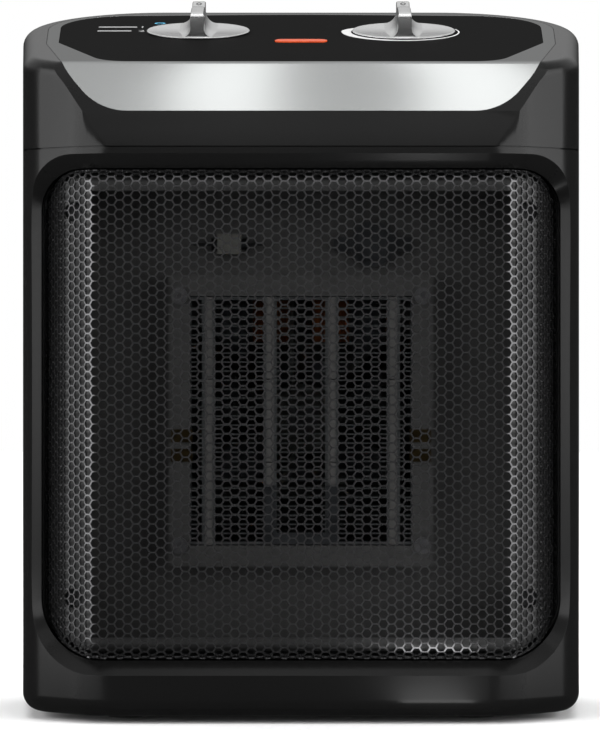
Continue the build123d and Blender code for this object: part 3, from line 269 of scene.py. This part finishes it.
finishes = {
    # moulded black ABS, satin: a soft sheen, set weaker than real plastic's, with a barely visible
    # spark-eroded grain of 0.5 mm
    "casing_black": ("mouldedBlackAbs", {
        "dark": "#0c0c0c", "light": "#121212", "grain": 0.5, "rough": (0.2, 0.26), "relief": 0.15,
        "height": 0.008, "sockets": {"IOR": 1.5, "Specular IOR Level": 0.15}}),
    # the same ABS with a coarser texture underneath
    "base_black": ("texturedBlackAbs", {
        "dark": "#141414", "light": "#202020", "grain": 0.9, "rough": (0.5, 0.65), "relief": 0.5,
        "height": 0.03, "sockets": {"IOR": 1.5}}),
    # moulded rubber feet and bushing: dull, slightly dusty
    "foot_rubber": ("mouldedRubber", {
        "dark": "#1c1c1c", "light": "#2b2b2a", "grain": 0.7, "rough": (0.75, 0.9), "relief": 0.4,
        "height": 0.03, "sockets": {"IOR": 1.52}}),
    # gunmetal enamel on punched steel: dark, with a metallic glint where light meets it
    "grille_black": ("gunmetalEnamel", {
        "dark": "#434344", "light": "#4e4e4f", "grain": 0.35, "rough": (0.18, 0.26), "relief": 0.2,
        "height": 0.006, "sockets": {"Metallic": 0.85}}),
    # glass-filled nylon flange behind the mesh: dull dark grey
    "frame_grey": ("glassFilledNylon", {
        "dark": "#101011", "light": "#171717", "grain": 0.6, "rough": (0.5, 0.65), "relief": 0.4,
        "height": 0.02, "sockets": {"IOR": 1.53}}),
    # blackened steel screws
    "screw_steel": ("blackenedSteel", {
        "dark": "#4b4b4d", "light": "#6a6a6c", "grain": 0.4, "rough": (0.3, 0.45), "relief": 0.3,
        "height": 0.01, "sockets": {"Metallic": 1.0}}),
    # satin chrome plating on plastic: softly blurred, nearly without grain, a little greyed at its edges
    "trim_satin": ("satinChrome", {
        "dark": "#b4b6b6", "light": "#bcbebd", "grain": 0.25, "rough": (0.11, 0.16), "relief": 0.05,
        "height": 0.003, "sockets": {"Metallic": 1.0, "Specular Tint": fromHex("#b8b8b8")}}),
    # screen-printed black panel with a matt lacquer, set to mirror almost nothing
    "panel_gloss": ("mattLacquerPanel", {
        "dark": "#0c0c0c", "light": "#111111", "grain": 0.3, "rough": (0.5, 0.58), "relief": 0.15,
        "height": 0.006, "sockets": {"IOR": 1.5, "Specular IOR Level": 0.003}}),
    # clear glass of the neon lamp, glowing orange
    "lamp_glass": ("neonLampGlass", {
        "dark": "#ff8a4a", "light": "#ffa468", "grain": 2.0, "rough": (0.05, 0.1),
        "sockets": {"IOR": 1.5, "Emission Color": fromHex("#ff6a2a"), "Emission Strength": 1.5}}),
    # the five marked "toned down" carry painted shade: they are far darker than the bare material, so
    # that what lies behind the mesh stays dim as if in shade; a reuse in plain view wants their true, lighter
    # colours
    # moulded nylon, slightly waxy; toned down with painted shade from a natural white to a dark warm grey
    "holder_white": ("nylonInPaintedShade", {
        "dark": "#34332f", "light": "#403f3a", "grain": 1.2, "rough": (0.4, 0.5), "relief": 0.1,
        "sockets": {"IOR": 1.53, "Subsurface Weight": 0.1}}),
    # heat-proof black thermoset
    "holder_black": ("blackThermoset", {
        "dark": "#0e0e0e", "light": "#161615", "grain": 0.8, "rough": (0.4, 0.55), "relief": 0.3,
        "sockets": {"IOR": 1.6}}),
    # stamped and turned brass, toned down with painted shade to a dark brown metal
    "brass_plain": ("brassInPaintedShade", {
        "dark": "#2e2718", "light": "#3c3220", "grain": 1.5, "rough": (0.25, 0.4), "relief": 0.2,
        "sockets": {"Metallic": 1.0}}),
    # galvanised sheet with its broad spangle, toned down with painted shade
    "zinc_sheet": ("galvanisedSheetInPaintedShade", {
        "dark": "#2c2e30", "light": "#38393b", "grain": 6.0, "rough": (0.28, 0.5), "relief": 0.15,
        "detail": 1.0, "sockets": {"Metallic": 1.0}}),
    # sintered ceramic tablets: dry, toned down with painted shade from light grey to nearly black
    "ceramic_grey": ("ceramicInPaintedShade", {
        "dark": "#201f1e", "light": "#2b2a28", "grain": 0.5, "rough": (0.7, 0.85), "relief": 0.3,
        "sockets": {"IOR": 1.76}}),
    # rolled aluminium strip, drawn along its length, toned down with painted shade
    "fin_aluminium": ("aluminiumInPaintedShade", {
        "dark": "#414344", "light": "#505253", "grain": 0.4, "rough": (0.3, 0.5),
        "stretch": (1, 1, 0.1), "relief": 0.2, "sockets": {"Metallic": 1.0}}),
    # stacked electrical steel: the 0.5 mm sheets show as fine lines round the stack
    "lamination_steel": ("stackedLaminations", {
        "dark": "#4a4c50", "light": "#7d8086", "grain": 0.5, "stretch": (0.02, 1, 0.02),
        "rough": (0.35, 0.55), "relief": 0.5, "sockets": {"Metallic": 1.0}}),
    # enamelled copper wire, wound side by side across the coil
    "copper_wire": ("enamelledCopperWire", {
        "dark": "#7c3f1c", "light": "#b8672f", "grain": 0.4, "stretch": (1, 0.02, 0.02),
        "rough": (0.2, 0.35), "relief": 0.8, "height": 0.1, "sockets": {"Metallic": 0.7}}),
    # silicone lead insulation
    "lead_rubber": ("siliconeLead", {
        "dark": "#8d8f90", "light": "#a3a5a6", "grain": 1.0, "rough": (0.4, 0.5),
        "sockets": {"IOR": 1.43}}),
    # matt black print and paint
    "dot_black": ("stampedBlackInk", {
        "dark": "#202020", "light": "#2e2e2e", "grain": 0.2, "rough": (0.45, 0.6),
        "sockets": {"IOR": 1.5}}),
}
materials = {slot: makeFinish(name, look) for slot, (name, look) in finishes.items()}


def makeBrushed(name, centre, look):
    # die-cast knob, satin nickel plated: fine brush lines run across it and draw its reflections wide
    mat = bpy.data.materials.new(name)
    mat.use_nodes = True
    tree = mat.node_tree
    shader = tree.nodes["Principled BSDF"]
    shader.inputs["Metallic"].default_value = 1.0
    spot = addNode(tree, "ShaderNodeTexCoord")
    lines = addNode(tree, "ShaderNodeMapping",
                    {"Scale": (look["drawn"], 1, 1), "Location": [-c for c in centre]},
                    {"Vector": spot.outputs["Object"]})
    hairs = addNode(tree, "ShaderNodeTexNoise", {"Scale": 1 / (look["hair"] * mm), "Detail": 2.0},
                    {"Vector": lines.outputs[0]})
    tone = addNode(tree, "ShaderNodeMix", {"data_type": "RGBA"}, {"Factor": hairs.outputs["Fac"]})
    tone.inputs["A"].default_value = fromHex(look["dark"])
    tone.inputs["B"].default_value = fromHex(look["light"])
    low, high = look["rough"]
    rough = addNode(tree, "ShaderNodeMapRange",
                    {"From Min": 0.3, "From Max": 0.7, "To Min": low, "To Max": high},
                    {"Value": hairs.outputs["Fac"]})
    relief = addNode(tree, "ShaderNodeBump",
                     {"Strength": look["relief"], "Distance": look["height"] * mm},
                     {"Height": hairs.outputs["Fac"]})
    tree.links.new(tone.outputs["Result"], shader.inputs["Base Color"])
    tree.links.new(rough.outputs[0], shader.inputs["Roughness"])
    tree.links.new(relief.outputs[0], shader.inputs["Normal"])
    return mat


brushedLook = {
    "hair": 0.2,          # width of a brush line in mm, a little coarser than real so that it shows
    "drawn": 0.03,        # how much slower the pattern runs along a line than across it
    "dark": "#e2e3e3",
    "light": "#f0f0f0",
    "rough": (0.2, 0.27),
    "relief": 0.1,
    "height": 0.01,
}
low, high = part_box("mode_knob")
knobMiddle = [(a + b) / 2 for a, b in zip(low, high)]
materials["knob_satin"] = makeBrushed("brushedNickelMode", knobMiddle, brushedLook)

# translucent red polycarbonate over the lamp: glowing faintly, a little unevenly
lensLook = {"dark": "#a83410", "light": "#be5028", "cloud": 4.0,    # cloud: the unevenness in mm
            "sockets": {"Roughness": 0.25, "IOR": 1.58, "Emission Strength": 0.12,
                        "Specular IOR Level": 0.05}}
lensGlow = bpy.data.materials.new("litRedPolycarbonate")
lensGlow.use_nodes = True
lensTree = lensGlow.node_tree
lensShader = lensTree.nodes["Principled BSDF"]
for socket, value in lensLook["sockets"].items():
    lensShader.inputs[socket].default_value = value
lensSpot = addNode(lensTree, "ShaderNodeTexCoord")
lensNoise = addNode(lensTree, "ShaderNodeTexNoise",
                    {"Scale": 1 / (lensLook["cloud"] * mm), "Detail": 1.0},
                    {"Vector": lensSpot.outputs["Object"]})
lensTone = addNode(lensTree, "ShaderNodeMix", {"data_type": "RGBA"},
                   {"Factor": lensNoise.outputs["Fac"]})
lensTone.inputs["A"].default_value = fromHex(lensLook["dark"])
lensTone.inputs["B"].default_value = fromHex(lensLook["light"])
lensTree.links.new(lensTone.outputs["Result"], lensShader.inputs["Base Color"])
lensTree.links.new(lensTone.outputs["Result"], lensShader.inputs["Emission Color"])
materials["lens_red"] = lensGlow

# screen-print inks on the panel: white for the crescent, a thinner grey for the setting marks, blue for
# the cool-air mark, all matt and faintly uneven
inkLook = {"dark": "#b6b6b6", "light": "#c6c6c6", "grain": 0.3, "rough": (0.5, 0.6),
           "sockets": {"IOR": 1.5}}
whiteInk = makeFinish("whiteScreenInk", inkLook)
greyInk = makeFinish("greyScreenInk", dict(inkLook, dark="#8a8a8a", light="#9a9a9a"))
blueInk = makeFinish("blueScreenInk", dict(inkLook, dark="#2f86a8", light="#4aa0c0"))

slotOf = {part["node"]: part["material_slot"] for part in frame["record"]["subparts"]}
for node, slot in slotOf.items():
    nodes[node].data.materials.clear()
    nodes[node].data.materials.append(materials[slot])
print("materials made:", len(bpy.data.materials))

# outlet grille: one punched sheet, folded twice at each side and rolled at top and bottom
grille = {
    "holePitch": 3.1,        # hole to hole up a column
    "web": 0.52,             # metal between two holes
    "sheet": 0.6,            # thickness
    "frontDepth": 1.5,
    "flatHalf": 68.7,        # where the flat front folds back
    "facetHalf": 78.0,       # where it folds again
    "facetDepth": 11.5,
    "edgeHalf": 85.2,
    "edgeDepth": 27.6,
    "bend": 4.0,
    "low": 20.6,
    "high": 180.4,
    "lowCorner": 19.0,
    "highCorner": 13.0,
    "roll": 5.0,             # radius at which the sheet curls back along its top and bottom
    "rollHoles": 0.55,       # share of the roll that is still punched
    "sideGap": 0.4,          # the punched sheet ends this far inside its border
    "rimDepth": 27.9,
    "rimStep": 0.5,          # the border's front edge stays at least this far before its rear edge
    "runStep": 0.25,         # step for finding a place along the folded sheet
    "weld": 0.02,            # corners nearer than this are one
}


def foldedPlace(run):
    # where a distance along the flat sheet ends up once it is folded: x and depth
    corners = [(0.0, grille["frontDepth"]), (grille["flatHalf"], grille["frontDepth"]),
               (grille["facetHalf"], grille["facetDepth"]), (grille["edgeHalf"], grille["edgeDepth"])]
    left = abs(run)
    heading, spent = 0.0, 0.0
    here = Vector(corners[0])
    for i in range(1, len(corners)):
        leg = Vector(corners[i]) - Vector(corners[i - 1])
        nextHeading = heading
        if i + 1 < len(corners):
            after = Vector(corners[i + 1]) - Vector(corners[i])
            nextHeading = math.atan2(after.y, after.x)
        turn = nextHeading - heading
        short = grille["bend"] * math.tan(turn / 2)
        length = leg.length - spent - short
        way = Vector((math.cos(heading), math.sin(heading)))
        if left <= length or i + 1 == len(corners):
            return here + way * left
        here += way * length
        left -= length
        arc = grille["bend"] * turn
        step = min(left, arc) / grille["bend"]
        side = Vector((-math.sin(heading), math.cos(heading)))
        here += grille["bend"] * (side * (1 - math.cos(step)) + way * math.sin(step))
        if left <= arc:
            return here
        left, heading, spent = left - arc, nextHeading, short
    return here


def edgeHeight(x, top):
    # height of the grille's rounded outline at this distance from the middle
    radius = grille["highCorner"] if top else grille["lowCorner"]
    out = max(0.0, abs(x) - (grille["edgeHalf"] - radius))
    drop = radius - math.sqrt(max(0.0, radius ** 2 - min(out, radius) ** 2))
    return grille["high"] - drop if top else grille["low"] + drop


def rolledPlace(x, depth, z):
    # curl the sheet backwards near its top and bottom edges
    for top in (True, False):
        rim = edgeHeight(x, top)
        sign = 1 if top else -1
        past = (z - (rim - sign * grille["roll"])) * sign
        if past > 0:
            turn = min(past / grille["roll"], math.pi / 2)
            extra = max(0.0, past - grille["roll"] * math.pi / 2)
            z = rim - sign * grille["roll"] * (1 - math.sin(turn))
            depth += grille["roll"] * (1 - math.cos(turn)) + extra
    return Vector((x, atDepth(depth), z))


def shiftCopy(bm, geom, move):
    # a copy of these cells, moved
    more = bmesh.ops.duplicate(bm, geom=geom)["geom"]
    bmesh.ops.translate(bm, verts=[g for g in more if isinstance(g, bmesh.types.BMVert)], vec=move)


def punchedSheet():
    # the flat blank: one hexagonal ring of metal, repeated up a column and then from column to column
    pitch = grille["holePitch"]
    across = pitch * math.sqrt(3) / 2
    bm = bmesh.new()
    bmesh.ops.create_circle(bm, cap_ends=True, segments=6, radius=pitch / math.sqrt(3))
    bmesh.ops.rotate(bm, verts=bm.verts, matrix=Matrix.Rotation(math.pi / 6, 3, "Z"))
    hole = bm.faces[:]
    bmesh.ops.inset_individual(bm, faces=hole, thickness=grille["web"] / 2, use_even_offset=True)
    bmesh.ops.delete(bm, geom=hole, context="FACES_ONLY")
    rows = int((grille["high"] - grille["low"]) / pitch) + 2
    columns = int(foldedRun / across)
    geom = bm.verts[:] + bm.edges[:] + bm.faces[:]
    for i in range(1, rows):
        shiftCopy(bm, geom, (0, pitch * i, 0))
    bmesh.ops.translate(bm, verts=bm.verts, vec=(0, -pitch * (rows - 1) / 2, 0))
    geom = bm.verts[:] + bm.edges[:] + bm.faces[:]
    for i in range(-columns, columns + 1):
        if i != 0:
            shiftCopy(bm, geom, (across * i, pitch / 2 if i % 2 else 0.0, 0))
    bmesh.ops.remove_doubles(bm, verts=bm.verts, dist=grille["weld"])
    return bm


# how far the flat blank reaches to each side before it is folded
foldedRun = 0.0
while foldedPlace(foldedRun).x < grille["edgeHalf"] - grille["sideGap"]:
    foldedRun += grille["runStep"]

mesh = punchedSheet()
middle = (grille["high"] + grille["low"]) / 2
gone = []
for vert in mesh.verts:
    place = foldedPlace(vert.co.x)
    side = 1 if vert.co.x >= 0 else -1
    z = middle + vert.co.y
    over = max((z - edgeHeight(place.x, True)), (edgeHeight(place.x, False) - z))
    if over > grille["roll"] * grille["rollHoles"]:
        gone.append(vert)
    vert.co = rolledPlace(side * place.x, place.y, z)
bmesh.ops.delete(mesh, geom=gone, context="VERTS")
bmesh.ops.recalc_face_normals(mesh, faces=mesh.faces)
if sum(face.normal.y for face in mesh.faces) > 0:
    bmesh.ops.reverse_faces(mesh, faces=mesh.faces)
grillePiece = finishPiece("punchedGrille", mesh, materials["grille_black"])
# the holes' edges stay crisp once the sheet has its thickness, and its folds stay smooth
crisp = bmesh.new()
crisp.from_mesh(grillePiece.data)
for edge in crisp.edges:
    edge.smooth = not edge.is_boundary
crisp.to_mesh(grillePiece.data)
crisp.free()
addModifier(grillePiece, "SOLIDIFY", thickness=grille["sheet"] * mm, offset=-1.0)
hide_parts("front_grille")


def sheetDepth(x):
    # depth of the folded sheet at this distance from the middle
    run = 0.0
    while run < foldedRun and foldedPlace(run).x < x:
        run += grille["runStep"]
    return foldedPlace(run).y


# the grille's plain border, folded straight back into the casing
rim = bmesh.new()
bmesh.ops.create_grid(rim, x_segments=1, y_segments=1, size=1.0)
for vert in rim.verts:
    vert.co = Vector((vert.co.x * grille["edgeHalf"], 0,
                      grille["high"] if vert.co.y > 0 else grille["low"]))
for corner, radius in ((1, grille["highCorner"]), (-1, grille["lowCorner"])):
    picked = [v for v in rim.verts
              if (v.co.z - middle) * corner > 0 and abs(v.co.x) > grille["edgeHalf"] - grille["weld"]]
    bmesh.ops.bevel(rim, geom=picked, offset=radius, offset_type="OFFSET", segments=10, profile=0.5,
                    affect="VERTICES", material=-1)
bmesh.ops.delete(rim, geom=rim.faces[:], context="FACES_ONLY")
for edge in [e for e in rim.edges
             if e.calc_length() > grille["highCorner"] and abs(e.verts[0].co.z - e.verts[1].co.z) < 0.1]:
    bmesh.ops.subdivide_edges(rim, edges=[edge], cuts=30)
back = bmesh.ops.extrude_edge_only(rim, edges=rim.edges[:])
rearVerts = {v for v in back["geom"] if isinstance(v, bmesh.types.BMVert)}
for vert in rim.verts:
    near = min(sheetDepth(abs(vert.co.x)) + grille["roll"], grille["rimDepth"] - grille["rimStep"])
    vert.co.y = atDepth(grille["rimDepth"] if vert in rearVerts else near)
bmesh.ops.recalc_face_normals(rim, faces=rim.faces)
rimPiece = finishPiece("grilleBorder", rim, materials["grille_black"])
addModifier(rimPiece, "SOLIDIFY", thickness=grille["sheet"] * mm, offset=-1.0)
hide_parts("front_grille")
print("grille made:", len(grillePiece.data.polygons), "faces before its thickness")

# turning knobs: a brushed disc with a grip fin that flares into it
knob = {
    "discRadius": 17.65,
    "discTop": 0.8,         # heights are over the panel's plane
    "discLow": 0.2,
    "dish": 0.12,           # the disc's face lies this far under its rim
    "rimWidth": 0.5,
    "hubRadius": 4.6,
    "hubLow": -2.4,
    "finTop": 8.9,
    "finDip": 6.9,          # the fin's back is lowest here, then rises to a tip that faces the user
    "dipAt": 9.3,
    "dipSides": 5.5,        # only what lies higher on its sides follows the dip,
    "dipBlend": 2.0,        # and wholly from this much further up
    "tipAt": 15.2,
    "tipDrop": 0.2,         # the tip stays this far under the fin's front
    "finHalf": 2.3,
    "finEnd": 16.25,
    "nose": 1.3,            # rounding of the fin's ends
    "flare": 4.2,           # the fin's foot, full from the middle backwards
    "frontFlare": 2.8,
    "flareFrom": -14.0,     # where the foot begins to widen
    "flareFull": -2.0,
    "sunk": 0.3,            # how far the fin's foot reaches into the disc
    "dotAt": 12.8,
    "dotRadius": 1.0,
}


def knobPlane(jointName):
    # from the panel plane under a knob to the casing's frame, in millimetres
    joint = [j for j in frame["joints"] if j["name"] == jointName][0]
    up = Vector(joint["axis"]).normalized()
    right = Vector((1, 0, 0))
    along = up.cross(right)
    turn = Matrix((right, along, up)).transposed().to_4x4()
    return Matrix.Translation(Vector(joint["pos_m"]) / mm) @ turn


def spinProfile(bm, points, steps):
    # a half outline, radius and height, turned round Z
    ring = [bm.verts.new((r, 0, h)) for r, h in points]
    line = [bm.edges.new(pair) for pair in zip(ring, ring[1:])]
    bmesh.ops.spin(bm, geom=ring + line, axis=(0, 0, 1), cent=(0, 0, 0), steps=steps, angle=math.tau,
                   use_merge=True)
    bmesh.ops.remove_doubles(bm, verts=bm.verts, dist=0.001)


def finSection(flare):
    # half of the fin's section from the top outwards, width and height:
    # rounded ridge, straight side, flared foot
    half, top, foot = knob["finHalf"], knob["finTop"], knob["discTop"] - knob["dish"]
    section = [(0, top), (half - 0.8, top), (half - 0.25, top - 0.18), (half, top - 0.75)]
    steps = 6
    for i in range(steps + 1):
        turn = math.pi / 2 * i / steps
        section.append((half + flare * (1 - math.cos(turn)), foot + flare * (1 - math.sin(turn))))
    return section


def backHeight(along):
    # the fin's upper line: level in front, dipping, then up to its tip
    top, dip = knob["finTop"], knob["finDip"]
    if along <= 0:
        return top
    if along <= knob["dipAt"]:
        t = along / knob["dipAt"]
        return top + (dip - top) * t * t * (3 - 2 * t)
    rise = min(1.0, (along - knob["dipAt"]) / (knob["tipAt"] - knob["dipAt"]))
    return dip + (top - knob["tipDrop"] - dip) * rise


def makeFin(name):
    # a grid of sections from the fin's front to its tip, closed by a skirt that sinks into the disc
    fin = bmesh.new()
    end, nose = knob["finEnd"], knob["nose"]
    rounding = [(0.0, 1.0), (0.15, 0.62), (0.5, 0.22), (nose, 0.0)]    # from an end, share of the drop
    level = (-12.5, -10.5, -8.0, -5.5, -3.0, 0, 2, 4, 6, knob["dipAt"] - 0.8, knob["dipAt"] + 0.4,
             knob["tipAt"] - 0.5)
    stations = ([(-end + back, nose * share) for back, share in rounding] + [(y, 0.0) for y in level]
                + [(end - back, nose * share) for back, share in reversed(rounding)])
    half = len(finSection(1.0)) - 1
    bmesh.ops.create_grid(fin, x_segments=2 * half, y_segments=len(stations) - 1, size=1.0)
    for vert in fin.verts:
        column = round(vert.co.x * half)
        along, drop = stations[round((vert.co.y + 1) / 2 * (len(stations) - 1))]
        ease = (along - knob["flareFrom"]) / (knob["flareFull"] - knob["flareFrom"])
        ease = min(1.0, max(0.0, ease))
        ease = ease * ease * (3 - 2 * ease)
        flare = knob["frontFlare"] + (knob["flare"] - knob["frontFlare"]) * ease
        wide, high = finSection(flare)[abs(column)]
        follows = min(1.0, max(0.0, high - knob["dipSides"]) / knob["dipBlend"])
        high -= (knob["finTop"] - backHeight(along)) * follows
        vert.co = (math.copysign(wide, column), along, min(high, backHeight(along) - drop))
    skirt = bmesh.ops.extrude_edge_only(fin, edges=[e for e in fin.edges if e.is_boundary])
    for vert in skirt["geom"]:
        if isinstance(vert, bmesh.types.BMVert):
            vert.co.z = knob["discTop"] - knob["dish"] - knob["sunk"]
    bmesh.ops.remove_doubles(fin, verts=fin.verts, dist=0.002)
    bmesh.ops.dissolve_degenerate(fin, edges=fin.edges, dist=0.002)
    bmesh.ops.holes_fill(fin, edges=[e for e in fin.edges if e.is_boundary], sides=0)
    finMesh = bpy.data.meshes.new(name + "Fin")
    fin.to_mesh(finMesh)
    fin.free()
    return finMesh


def makeKnob(name, jointName, body, node):
    bm = bmesh.new()
    top, rim = knob["discTop"], knob["discRadius"]
    spinProfile(bm, [(0, top - knob["dish"]), (rim - knob["rimWidth"] - 0.35, top - knob["dish"]),
                     (rim - knob["rimWidth"], top), (rim - 0.2, top - 0.03), (rim, top - 0.22),
                     (rim, knob["discLow"] + 0.15), (rim - 0.15, knob["discLow"]),
                     (knob["hubRadius"], knob["discLow"]), (knob["hubRadius"], knob["hubLow"]),
                     (0, knob["hubLow"])], 96)
    finMesh = makeFin(name)
    bm.from_mesh(finMesh)
    bpy.data.meshes.remove(finMesh)
    bmesh.ops.recalc_face_normals(bm, faces=bm.faces)
    bmesh.ops.transform(bm, matrix=knobPlane(jointName), verts=bm.verts)
    piece = finishPiece(name, bm, materials["knob_satin"], body, smoothAngle=35)
    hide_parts(node)
    # the pointer: a small dark ring round a grey centre, lying on the tip's slope
    dot = bmesh.new()
    radius = knob["dotRadius"]
    spinProfile(dot, [(0, -0.12), (radius * 0.5, -0.12), (radius * 0.62, 0.05), (radius * 0.95, 0.05),
                      (radius, -0.1), (radius, -0.45), (0, -0.45)], 24)
    bmesh.ops.recalc_face_normals(dot, faces=dot.faces)
    for face in dot.faces:
        face.material_index = 1 if face.calc_center_median().xy.length < radius * 0.5 else 0
    at = knob["dotAt"]
    slope = math.atan(backHeight(at + 0.5) - backHeight(at - 0.5))
    onSlope = Matrix.Translation((0, at, backHeight(at))) @ Matrix.Rotation(slope, 4, "X")
    bmesh.ops.transform(dot, matrix=knobPlane(jointName) @ onSlope, verts=dot.verts)
    ring = finishPiece(name + "Pointer", dot, [materials["dot_black"], materials["screw_steel"]], body,
                       smoothAngle=30)
    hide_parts(node + "_dot")


makeKnob("modeKnobBrushed", "mode_knob_turn", "mode_control", "mode_knob")
makeKnob("thermostatKnobBrushed", "thermostat_knob_turn", "thermostat_control", "thermostat_knob")
print("knobs made")

# prints on the panel, a few hundredths of a millimetre thick
prints = {
    "ink": 0.04,              # how thick it lies
    "lift": 0.01,             # its underside over the panel, so that the two don't share a plane
    "crescentInner": 18.05,
    "crescentWide": 3.7,      # at its widest, on the left
    "crescentThin": 0.5,      # at its end, on the right
    "crescentTip": 0.1,       # share of its length in which it grows from its pointed start
    "crescentCurve": 0.6,     # under 1 rounds that start
    "crescentHurry": 1.15,    # over 1 makes it thin before its end
    "crescentDrift": 0.7,     # how far its end has left the knob
    "from": 148.0,            # degrees round the thermostat
    "to": 380.0,
    "labelLeft": -34.7,       # label lines, from the mode knob's middle
    "labelRight": -17.8,
    "labelRows": (11.7, 2.6),
    "ruleTall": 2.0,
    "ruleShorter": (0.0, 1.7),
    "figureSize": 5.0,
    "figureRoom": 3.6,        # a figure's room between its rule and the label's right end
    "figureLeft": 3.0,
    "figureMiddle": 0.36,     # height of a figure's middle, as a share of its size
    "ring": (-13.8, 20.6),
    "ringRadius": 1.9,
    "ringLine": 0.7,
}


def layInk(name, bm, material, jointName):
    # flat outlines on a knob's plane become a thin layer
    raised = bmesh.ops.extrude_face_region(bm, geom=bm.faces[:])
    bmesh.ops.translate(bm, verts=[g for g in raised["geom"] if isinstance(g, bmesh.types.BMVert)],
                        vec=(0, 0, prints["ink"]))
    bmesh.ops.recalc_face_normals(bm, faces=bm.faces)
    bmesh.ops.transform(bm, matrix=knobPlane(jointName), verts=bm.verts)
    return finishPiece(name, bm, material)


bm = bmesh.new()
bmesh.ops.create_grid(bm, x_segments=64, y_segments=1, size=1.0)
for vert in bm.verts:
    t = (vert.co.x + 1) / 2
    angle = math.radians(prints["from"] + (prints["to"] - prints["from"]) * t)
    thinned = min(1.0, t * prints["crescentHurry"])
    grown = min(1.0, t / prints["crescentTip"]) ** prints["crescentCurve"]
    wide = (prints["crescentWide"] + (prints["crescentThin"] - prints["crescentWide"]) * thinned) * grown
    reach = prints["crescentInner"] + prints["crescentDrift"] * t + (wide if vert.co.y > 0 else 0.0)
    vert.co = (reach * math.cos(angle), reach * math.sin(angle), prints["lift"])
bmesh.ops.remove_doubles(bm, verts=bm.verts, dist=0.001)
layInk("heatCrescent", bm, whiteInk, "thermostat_knob_turn")

bm = bmesh.new()
for row, shorter, digit in zip(prints["labelRows"], prints["ruleShorter"], ("1", "2")):
    # a rule and a plain number: one line for each heat setting
    ruled = bmesh.ops.create_grid(bm, x_segments=1, y_segments=1, size=0.5)["verts"]
    length = prints["labelRight"] - prints["labelLeft"] - prints["figureRoom"] - shorter
    bmesh.ops.scale(bm, vec=(length, prints["ruleTall"], 1), verts=ruled)
    bmesh.ops.translate(bm, verts=ruled, vec=(prints["labelLeft"] + length / 2, row, prints["lift"]))
    figure = bpy.data.curves.new("figure" + digit, "FONT")
    figure.body = digit
    figure.size = prints["figureSize"]
    holder = bpy.data.objects.new("figure" + digit, figure)
    scene.collection.objects.link(holder)
    bpy.context.view_layer.update()
    graph = bpy.context.evaluated_depsgraph_get()
    outline = bpy.data.meshes.new_from_object(holder.evaluated_get(graph))
    kept = set(bm.verts)
    bm.from_mesh(outline)
    bmesh.ops.translate(bm, verts=[v for v in bm.verts if v not in kept],
                        vec=(prints["labelRight"] - prints["figureLeft"],
                             row - prints["figureMiddle"] * prints["figureSize"], prints["lift"]))
    bpy.data.objects.remove(holder)
    bpy.data.curves.remove(figure)
    bpy.data.meshes.remove(outline)
layInk("settingMarks", bm, greyInk, "mode_knob_turn")

bm = bmesh.new()
bmesh.ops.create_circle(bm, cap_ends=True, segments=24, radius=prints["ringRadius"])
whole = bm.faces[:]
bmesh.ops.inset_individual(bm, faces=whole, thickness=prints["ringLine"])
bmesh.ops.delete(bm, geom=whole, context="FACES_ONLY")
bmesh.ops.translate(bm, verts=bm.verts, vec=(*prints["ring"], prints["lift"]))
layInk("coolAirMark", bm, blueInk, "mode_knob_turn")
print("panel prints made")

# casing skins: the solids' own shapes with softened edges, so that seams and corners catch light
softEdges = {
    # CAD node: (name of its skin, width of the softened edge in mm)
    "top_hood": ("hoodSkin", 0.2),
    "front_housing": ("frontCasingSkin", 0.2),
    "trim_ring": ("trimRingPlated", 0.25),
}
for node, (name, width) in softEdges.items():
    # every edge stays smooth here, and the weighted normals keep the large faces flat
    slot = slotOf[node]
    piece = finishPiece(name, solidCopy(node), materials[slot], smoothAngle=180)
    addModifier(piece, "BEVEL", width=width * mm, segments=3, limit_method="ANGLE",
                angle_limit=math.radians(35))
    addModifier(piece, "WEIGHTED_NORMAL", mode="FACE_AREA", weight=60)
    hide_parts(node)
print("casing skins made")

low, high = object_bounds()
